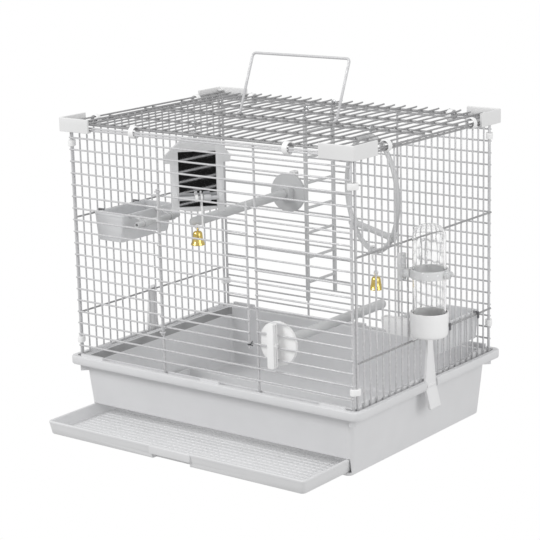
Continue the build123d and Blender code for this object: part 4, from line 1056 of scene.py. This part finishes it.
# ------------------------------------------------------------------ swing
def swing_ring():
    R, r, zc, bz = 54.5, 2.4, 242.0, 207.0
    hl = math.sqrt(R * R - (zc - bz) ** 2)
    bm = bmesh.new()
    loop = [(R * cos(a), 0, zc + R * sin(a)) for a in [2 * pi * k / 120 for k in range(121)]]
    tube(bm, loop, r, 18, False)
    ob = make_object("swing_hoop", bm, M_perch)
    add = []
    for prof, at in (([(2.3, zc - R - 2.8), (2.7, zc - R - 2.6), (2.9, zc - R - 2.2), (2.9, zc - R + 2.2), (2.7, zc - R + 2.6), (2.3, zc - R + 2.8)], (0, 0, 0)),
                     ([(2.3, zc + R - 3.4), (2.7, zc + R - 3.2), (2.9, zc + R - 2.8), (2.9, zc + R + 0.4), (2.7, zc + R + 0.8), (2.3, zc + R + 1.0)], (0, 0, 0))):
        b = bmesh.new()
        lathe(b, prof, 32, "z", at)
        bmesh.ops.recalc_face_normals(b, faces=b.faces)
        add.append(make_object("boss", b, M_perch))
    for s in (-1, 1):
        b = bmesh.new()
        c = s * (hl - 0.6)
        lathe(b, [(3.6, -2.5), (4.1, -2.35), (4.4, -1.9), (4.4, 1.9), (4.1, 2.35), (3.6, 2.5)], 36, "x", (c, 0, bz))
        bmesh.ops.recalc_face_normals(b, faces=b.faces)
        add.append(make_object("boss", b, M_perch))
    boolean(ob, add, "UNION")
    cut = []
    for rr_, a, b_, ax, at in ((0.95, zc + R - 6, zc + R + 3, "z", (0, 0, 0)), (0.95, zc - R - 6, zc - R + 6, "z", (0, 0, 0)), (3.0, -hl - 0.2, hl + 0.2, "x", (0, 0, bz))):
        b = bmesh.new()
        lathe(b, [(rr_, a), (rr_, b_)], 28, ax, at)
        bmesh.ops.recalc_face_normals(b, faces=b.faces)
        cut.append(make_object("bore", b, M_perch))
    boolean(ob, cut, "DIFFERENCE")
    m = Matrix.Translation((0.1105, -0.004, 0)) @ Matrix.Rotation(radians(-30), 4, "Z")
    ob.data.transform(m)
    finalize(ob.data)
    bm = bmesh.new()
    lathe(bm, [(2.4, -hl), (2.85, -hl + 0.15), (3.0, -hl + 0.6), (3.0, hl - 0.6), (2.85, hl - 0.15), (2.4, hl)], 32, "x", (0, 0, bz))
    rod_ = make_object("swing_rod", bm, M_perch)
    rod_.data.transform(m)
    finalize(rod_.data)
    return ob, rod_


hoop, srod = swing_ring()
attach(hoop, "swing", "grey_plastic", "swing_ring")
attach(srod, "swing", "grey_plastic", "swing_perch")
bm = bmesh.new()
eye = [(110.5, -4 + 2.35 * sin(a), 303.2 + 2.35 * cos(a)) for a in [2 * pi * k / 28 for k in range(29)]]
tube(bm, eye, 0.9, 12, False)
tube(bm, [(110.5, -4, 293.1), (110.5, -4, 297.0), (110.5, -4, 301.0)], 0.9, 12)
attach(make_object("swing_hanger", bm, M_steel), "swing", "steel_wire", "swing_hook")
bm = bmesh.new()
tube(bm, arc_path([(110.5, -4, 191.5), (110.5, -4, 178.5), (114.3, -4, 173.5), (114.3, -4, 167.7)], [2.5, 2.5], 8), 0.9, 12)
lathe(bm, [(1.4, 190.4), (1.85, 190.55), (2.0, 190.9), (2.0, 191.3), (1.85, 191.65), (1.4, 191.8)], 24, "z", (110.5, -4, 0))
eye = [(114.3 + 2.0 * cos(a), -4, 165.8 + 2.0 * sin(a)) for a in [2 * pi * k / 28 for k in range(29)]]
tube(bm, eye, 0.7, 12, False)
attach(make_object("swing_bell_link", bm, M_white), "swing", "white_plastic", "swing_bell_hook")


# ------------------------------------------------------------------ ladder
def ladder():
    x, ya, yb = -15.25, 62.6, 110.4
    bm = bmesh.new()
    parts = []
    for y in (ya, yb):
        poly = round_poly([(x - 1.5, y - 2.0), (x + 1.5, y - 2.0), (x + 1.5, y + 2.0), (x - 1.5, y + 2.0)], 0.55, 4)
        slab(bm, poly, 106.0, 296.5, 0.5, lambda a, b, h: (a, b, h), 2)
    for k in range(7):
        z = 280.6 - 25.9 * k
        tube(bm, [(x, ya, z), (x, (ya + yb) / 2, z), (x, yb, z)], 1.45, 16, False)
    return make_object("ladder_rails", bm, M_perch)


attach(ladder(), "ladder", "grey_plastic", "ladder")


# ------------------------------------------------------------------ perches
def placed(ob, x, y, z, turn):
    ob.data.transform(Matrix.Translation((x * MM, y * MM, z * MM)) @ Matrix.Rotation(radians(turn), 4, "Z"))
    finalize(ob.data)
    return ob


def perch(tag, x, y, z, turn, body, rod_node, disc_node, mat_disc, slot_disc):
    r, length, R = 4.8, PERCH_LEN, DISC_R
    bm = bmesh.new()
    prof = [(r * sin(pi / 2 * k / 8), -length + r * (1 - cos(pi / 2 * k / 8))) for k in range(1, 9)]
    prof += [(r, -length + 20 + (length - 22) * k / 8) for k in range(9)] + [(r, -1.6)]
    lathe(bm, prof, 36, "y", (0, 0, 0))
    attach(placed(make_object(tag + "_stick", bm, M_perch), x, y, z, turn), body, "grey_plastic", rod_node)
    bm = bmesh.new()
    disc = [(r, -10.0)]
    disc = [(R - 1.0, -2.0), (R - 0.3, -1.7), (R, -1.0), (R, 1.0), (R - 0.3, 1.7), (R - 1.0, 2.0)]
    lathe(bm, disc, 96, "y", (0, 0, 0))
    ob = make_object(tag + "_flange", bm, mat_disc)
    sock = bmesh.new()
    poly = round_poly([(-7.4, -7.4), (7.4, -7.4), (7.4, 7.4), (-7.4, 7.4)], 2.2, 6)
    slab(sock, [(a, -b) for a, b in poly][::-1], -10.2, -1.0, 0.7, lambda a, b, h: (a, h, -b), 3)
    bmesh.ops.recalc_face_normals(sock, faces=sock.faces)
    stud = bmesh.new()
    lathe(stud, [(1.6, 1.0), (1.6, 11.0), (1.3, 11.5), (0.9, 11.6)], 24, "y", (0, 0, 0))
    bmesh.ops.recalc_face_normals(stud, faces=stud.faces)
    boolean(ob, [make_object("sock", sock, mat_disc), make_object("stud", stud, mat_disc)], "UNION")
    bore = bmesh.new()
    lathe(bore, [(r, -14.0), (r, -1.6)], 36, "y", (0, 0, 0))
    bmesh.ops.recalc_face_normals(bore, faces=bore.faces)
    boolean(ob, [make_object("bore", bore, mat_disc)], "DIFFERENCE")
    soften(ob, 0.25, 2, 50)
    attach(placed(ob, x, y, z, turn), body, slot_disc, disc_node)


def clamp(tag, x, y, z, turn, node):
    bm = bmesh.new()
    poly = round_poly([(-3.6, -21.5), (3.6, -21.5), (3.6, 21.5), (-3.6, 21.5)], 1.6, 6)
    slab(bm, [(a, -b) for a, b in poly][::-1], 0.0, 6.8, 0.3, lambda a, b, h: (a, h, -b), 2)
    ob = make_object(tag, bm, M_white)
    cut = []
    for s in (-1, 1):
        x0, x1 = sorted((s * 0.9, s * 4.2))
        cut.append(cutter(x0, x1, 1.3, 3.3, -20.0, 20.0))
        x0, x1 = sorted((s * 2.4, s * 4.2))
        cut.append(cutter(x0, x1, 4.4, 5.6, -20.0, 20.0))
    boolean(ob, cut, "DIFFERENCE")
    boss = bmesh.new()
    lathe(boss, [(2.9, 0.05), (3.2, 0.3), (3.2, 6.5), (2.9, 6.75)], 32, "y", (0, 0, 0))
    bmesh.ops.recalc_face_normals(boss, faces=boss.faces)
    boolean(ob, [make_object("boss", boss, M_white)], "UNION")
    bore = bmesh.new()
    lathe(bore, [(1.75, -1.0), (1.75, 6.2)], 24, "y", (0, 0, 0))
    bmesh.ops.recalc_face_normals(bore, faces=bore.faces)
    boolean(ob, [make_object("bore", bore, M_white)], "DIFFERENCE")
    soften(ob, 0.18, 2, 50)
    attach(placed(ob, x, y, z, turn), "cage", "white_plastic", node)


perch("upper", -75.8, 113.0, 205.0, 3.64, "perch_upper", "perch_upper_rod", "perch_upper_disc", M_perch, "grey_plastic")
# The lower disc takes the lightened white, which is partly painted light.
perch("lower", 80.5, -114.4, 117.3, 180.0, "perch_lower", "perch_lower_rod", "perch_lower_disc", M_disc_painted_light, "white_plastic")
clamp("upper_clamp", -75.8 - math.tan(radians(3.64)) * 8.0, 120.9, 205.0, 0.0, "perch_upper_clamp")
clamp("lower_clamp", 80.5, -120.9, 117.3, 180.0, "perch_lower_clamp")


# ------------------------------------------------------------------ latches and door hook
def latch(name, sx):
    prof = [(171.15, 113.2), (169.25, 113.25), (169.2, 114.6), (171.6, 116.0), (173.6, 115.2), (173.9, 95.0), (174.15, 67.0), (174.9, 61.0),
            (179.6, 42.8), (178.9, 41.4), (177.1, 42.0), (172.4, 59.6), (171.65, 64.0), (171.55, 75.0), (171.3, 95.0)]
    poly = round_poly([(a, b) for a, b in prof], [0.3, 0.3, 0.4, 0.9, 0.8, 0, 3, 4, 0.7, 0.5, 0.6, 3, 2, 0, 0], 5)
    bm = bmesh.new()
    loft(bm, [[(a, 9.0, b) for a, b in poly], [(a, -9.0, b) for a, b in poly]])
    bmesh.ops.recalc_face_normals(bm, faces=bm.faces)
    ob = make_object(name, bm, M_latch)
    hub = bmesh.new()
    lathe(hub, [(2.6, -7.2), (2.6, 7.2)], 32, "y", (172.9, 0, 64.0))
    bmesh.ops.recalc_face_normals(hub, faces=hub.faces)
    boolean(ob, [make_object("hub", hub, M_latch)], "UNION")
    plan = [(-3.9, 117), (-5.0, 96), (-8.8, 68), (-8.9, 60.4), (-9.9, 57.5), (-9.2, 43.5), (-7.4, 41), (7.4, 41), (9.2, 43.5), (9.9, 57.5), (8.9, 60.4), (8.8, 68), (5.0, 96), (3.9, 117)]
    pl = round_poly(plan, [0.1, 30, 4, 1.5, 1.5, 1.4, 1.2, 1.2, 1.4, 1.5, 1.5, 4, 30, 0.1], 6)
    mk = bmesh.new()
    loft(mk, [[(100, y, z) for y, z in pl], [(200, y, z) for y, z in pl]])
    bmesh.ops.recalc_face_normals(mk, faces=mk.faces)
    boolean(ob, [make_object("mask", mk, M_latch)], "INTERSECT")
    bore = bmesh.new()
    lathe(bore, [(1.25, -12), (1.25, 12)], 24, "y", (172.9, 0, 64.0))
    bmesh.ops.recalc_face_normals(bore, faces=bore.faces)
    boolean(ob, [make_object("bore", bore, M_latch)], "DIFFERENCE")
    soften(ob, 0.28, 2, 50)
    ob.data.transform(Matrix.Translation((0, -0.002, 0)) @ Matrix.Diagonal((1, 1, 1, 1)))
    if sx < 0:
        ob.data.transform(Matrix.Diagonal((-1, 1, 1, 1)))
    finalize(ob.data)
    return ob


attach(latch("latch_r", 1), "latch_right", "tub_plastic", "latch_right")
attach(latch("latch_l", -1), "latch_left", "tub_plastic", "latch_left")

bm = bmesh.new()
zh = 290 - 11.7 * 15
tube(bm, [(53.3 + 1.5 * cos(a), -123.4 + 1.5 * sin(a), zh + 1.0 * (k / 30 - 0.5)) for k, a in enumerate([radians(-150 + 20 * k) for k in range(31)])], 0.42, 8)
tube(bm, arc_path([(54.8, -122.6, zh + 1.2), (54.4, -120.6, zh + 2.2), (53.4, -119.3, zh + 1.9)], 0.8, 5), 0.42, 8)
tube(bm, arc_path([(54.8, -123.0, zh - 0.6), (54.4, -120.6, zh - 2.2), (53.4, -119.3, zh - 1.9)], 0.8, 5), 0.42, 8)
attach(make_object("door_spring_hook", bm, M_dark), "door", "dark_metal", "door_hook")


# ------------------------------------------------------------------ other CAD nodes
LOOK = {
    "latch_pins": (M_white, "white_plastic"), "mirror_hook": (M_steel, "steel_wire"), "perch_upper_clamp": (M_white, "white_plastic"),
    "perch_lower_clamp": (M_white, "white_plastic"), "drinker_holder": (M_collar, "grey_plastic"), "drinker_cup": (M_white, "white_plastic"),
    "door_hook": (M_dark, "dark_metal"), "latch_right": (M_latch, "tub_plastic"), "latch_left": (M_latch, "tub_plastic"),
    "swing_ring": (M_perch, "grey_plastic"), "swing_perch": (M_perch, "grey_plastic"), "swing_hook": (M_steel, "steel_wire"),
    "swing_bell": (M_brass, "bell_brass"), "swing_bell_clapper": (M_brass, "bell_brass"), "swing_bell_hook": (M_white, "white_plastic"),
    "mirror_frame": (M_grey, "grey_plastic"), "mirror_glass": (M_mirror, "mirror_glass"), "mirror_bar": (M_grey, "grey_plastic"),
    "mirror_bar_ring": (M_white, "white_plastic"), "mirror_bar_knob": (M_grey, "grey_plastic"), "mirror_bell": (M_brass, "bell_brass"),
    "mirror_bell_clapper": (M_brass, "bell_brass"), "mirror_bell_hook": (M_white, "white_plastic"), "ladder": (M_perch, "grey_plastic"),
    "ladder_hooks": (M_steel, "steel_wire"), "perch_upper_rod": (M_perch, "grey_plastic"), "perch_upper_disc": (M_perch, "grey_plastic"),
    "perch_lower_rod": (M_perch, "grey_plastic"), "perch_lower_disc": (M_white, "white_plastic"), "feeder_left": (M_feeder, "grey_plastic"),
    "feeder_right": (M_feeder, "grey_plastic"), "feeder_left_perch": (M_perch, "grey_plastic"), "feeder_right_perch": (M_perch, "grey_plastic"),
    "drinker_tube": (M_clear, "clear_plastic"), "drinker_screw": (M_collar, "white_plastic"),
}
for node, (mat, slot) in LOOK.items():
    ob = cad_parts.get(node)
    if ob is None:
        continue
    ob.data.materials.clear()
    ob.data.materials.append(mat)


# ------------------------------------------------------------------ studio
def emission(name, colour, strength):
    mat = bpy.data.materials.new(name)
    mat.use_nodes = True
    nt = mat.node_tree
    nt.nodes.clear()
    out = nt.nodes.new("ShaderNodeOutputMaterial")
    em = nt.nodes.new("ShaderNodeEmission")
    em.inputs["Color"].default_value = (*colour, 1)
    em.inputs["Strength"].default_value = strength
    nt.links.new(em.outputs["Emission"], out.inputs["Surface"])
    return mat


world = bpy.data.worlds.new("studio")
scene.world = world
world.use_nodes = True
wn = world.node_tree
wn.nodes.clear()
wo = wn.nodes.new("ShaderNodeOutputWorld")
bg1 = wn.nodes.new("ShaderNodeBackground")
bg1.inputs["Color"].default_value = (1, 1, 1, 1)
bg1.inputs["Strength"].default_value = 0.62
bg2 = wn.nodes.new("ShaderNodeBackground")
bg2.inputs["Color"].default_value = (1, 1, 1, 1)
bg2.inputs["Strength"].default_value = 1.0
lp = wn.nodes.new("ShaderNodeLightPath")
mx = wn.nodes.new("ShaderNodeMixShader")
wn.links.new(lp.outputs["Is Camera Ray"], mx.inputs[0])
wn.links.new(bg1.outputs[0], mx.inputs[1])
wn.links.new(bg2.outputs[0], mx.inputs[2])
mt = wn.nodes.new("ShaderNodeMixShader")
wn.links.new(lp.outputs["Is Transmission Ray"], mt.inputs[0])
wn.links.new(mx.outputs[0], mt.inputs[1])
wn.links.new(bg2.outputs[0], mt.inputs[2])
wn.links.new(mt.outputs[0], wo.inputs["Surface"])


def area(name, loc, target, size_x, size_y, power, colour=(1, 1, 1)):
    lt = bpy.data.lights.new(name, "AREA")
    lt.shape = "RECTANGLE"
    lt.size, lt.size_y = size_x, size_y
    lt.energy = power
    lt.color = colour
    ob = bpy.data.objects.new(name, lt)
    scene.collection.objects.link(ob)
    ob.location = loc
    d = Vector(target) - Vector(loc)
    ob.rotation_euler = d.to_track_quat("-Z", "Y").to_euler()
    return ob


area("key", (-0.7, -1.5, 1.3), (0, 0, 0.12), 0.7, 0.7, 16.0)
area("fill", (1.6, -0.3, 0.7), (0, 0, 0.12), 0.9, 0.9, 8.5)
area("top", (0.0, 0.2, 1.7), (0, 0, 0.15), 1.2, 1.2, 3.5)


# dark card below the camera, for the look of the mirror and of the bright metal
bm = bmesh.new()
cd = Vector((0.705, -0.682, -0.19)).normalized()
cu = Vector((cd.y, -cd.x, 0)).normalized()
cv = cd.cross(cu)
cc = Vector((-58.0, -58.0, 250.0)) + cd * 2000.0
bm.faces.new([bm.verts.new(cc + cu * a + cv * b) for a, b in ((-420, -330), (420, -330), (420, 330), (-420, 330))])
card = make_object("flag_card", bm, emission("card_black", (0.012, 0.012, 0.012), 1.0))

scene.view_settings.view_transform = "Standard"
scene.view_settings.look = "None"
scene.view_settings.exposure = 0.0
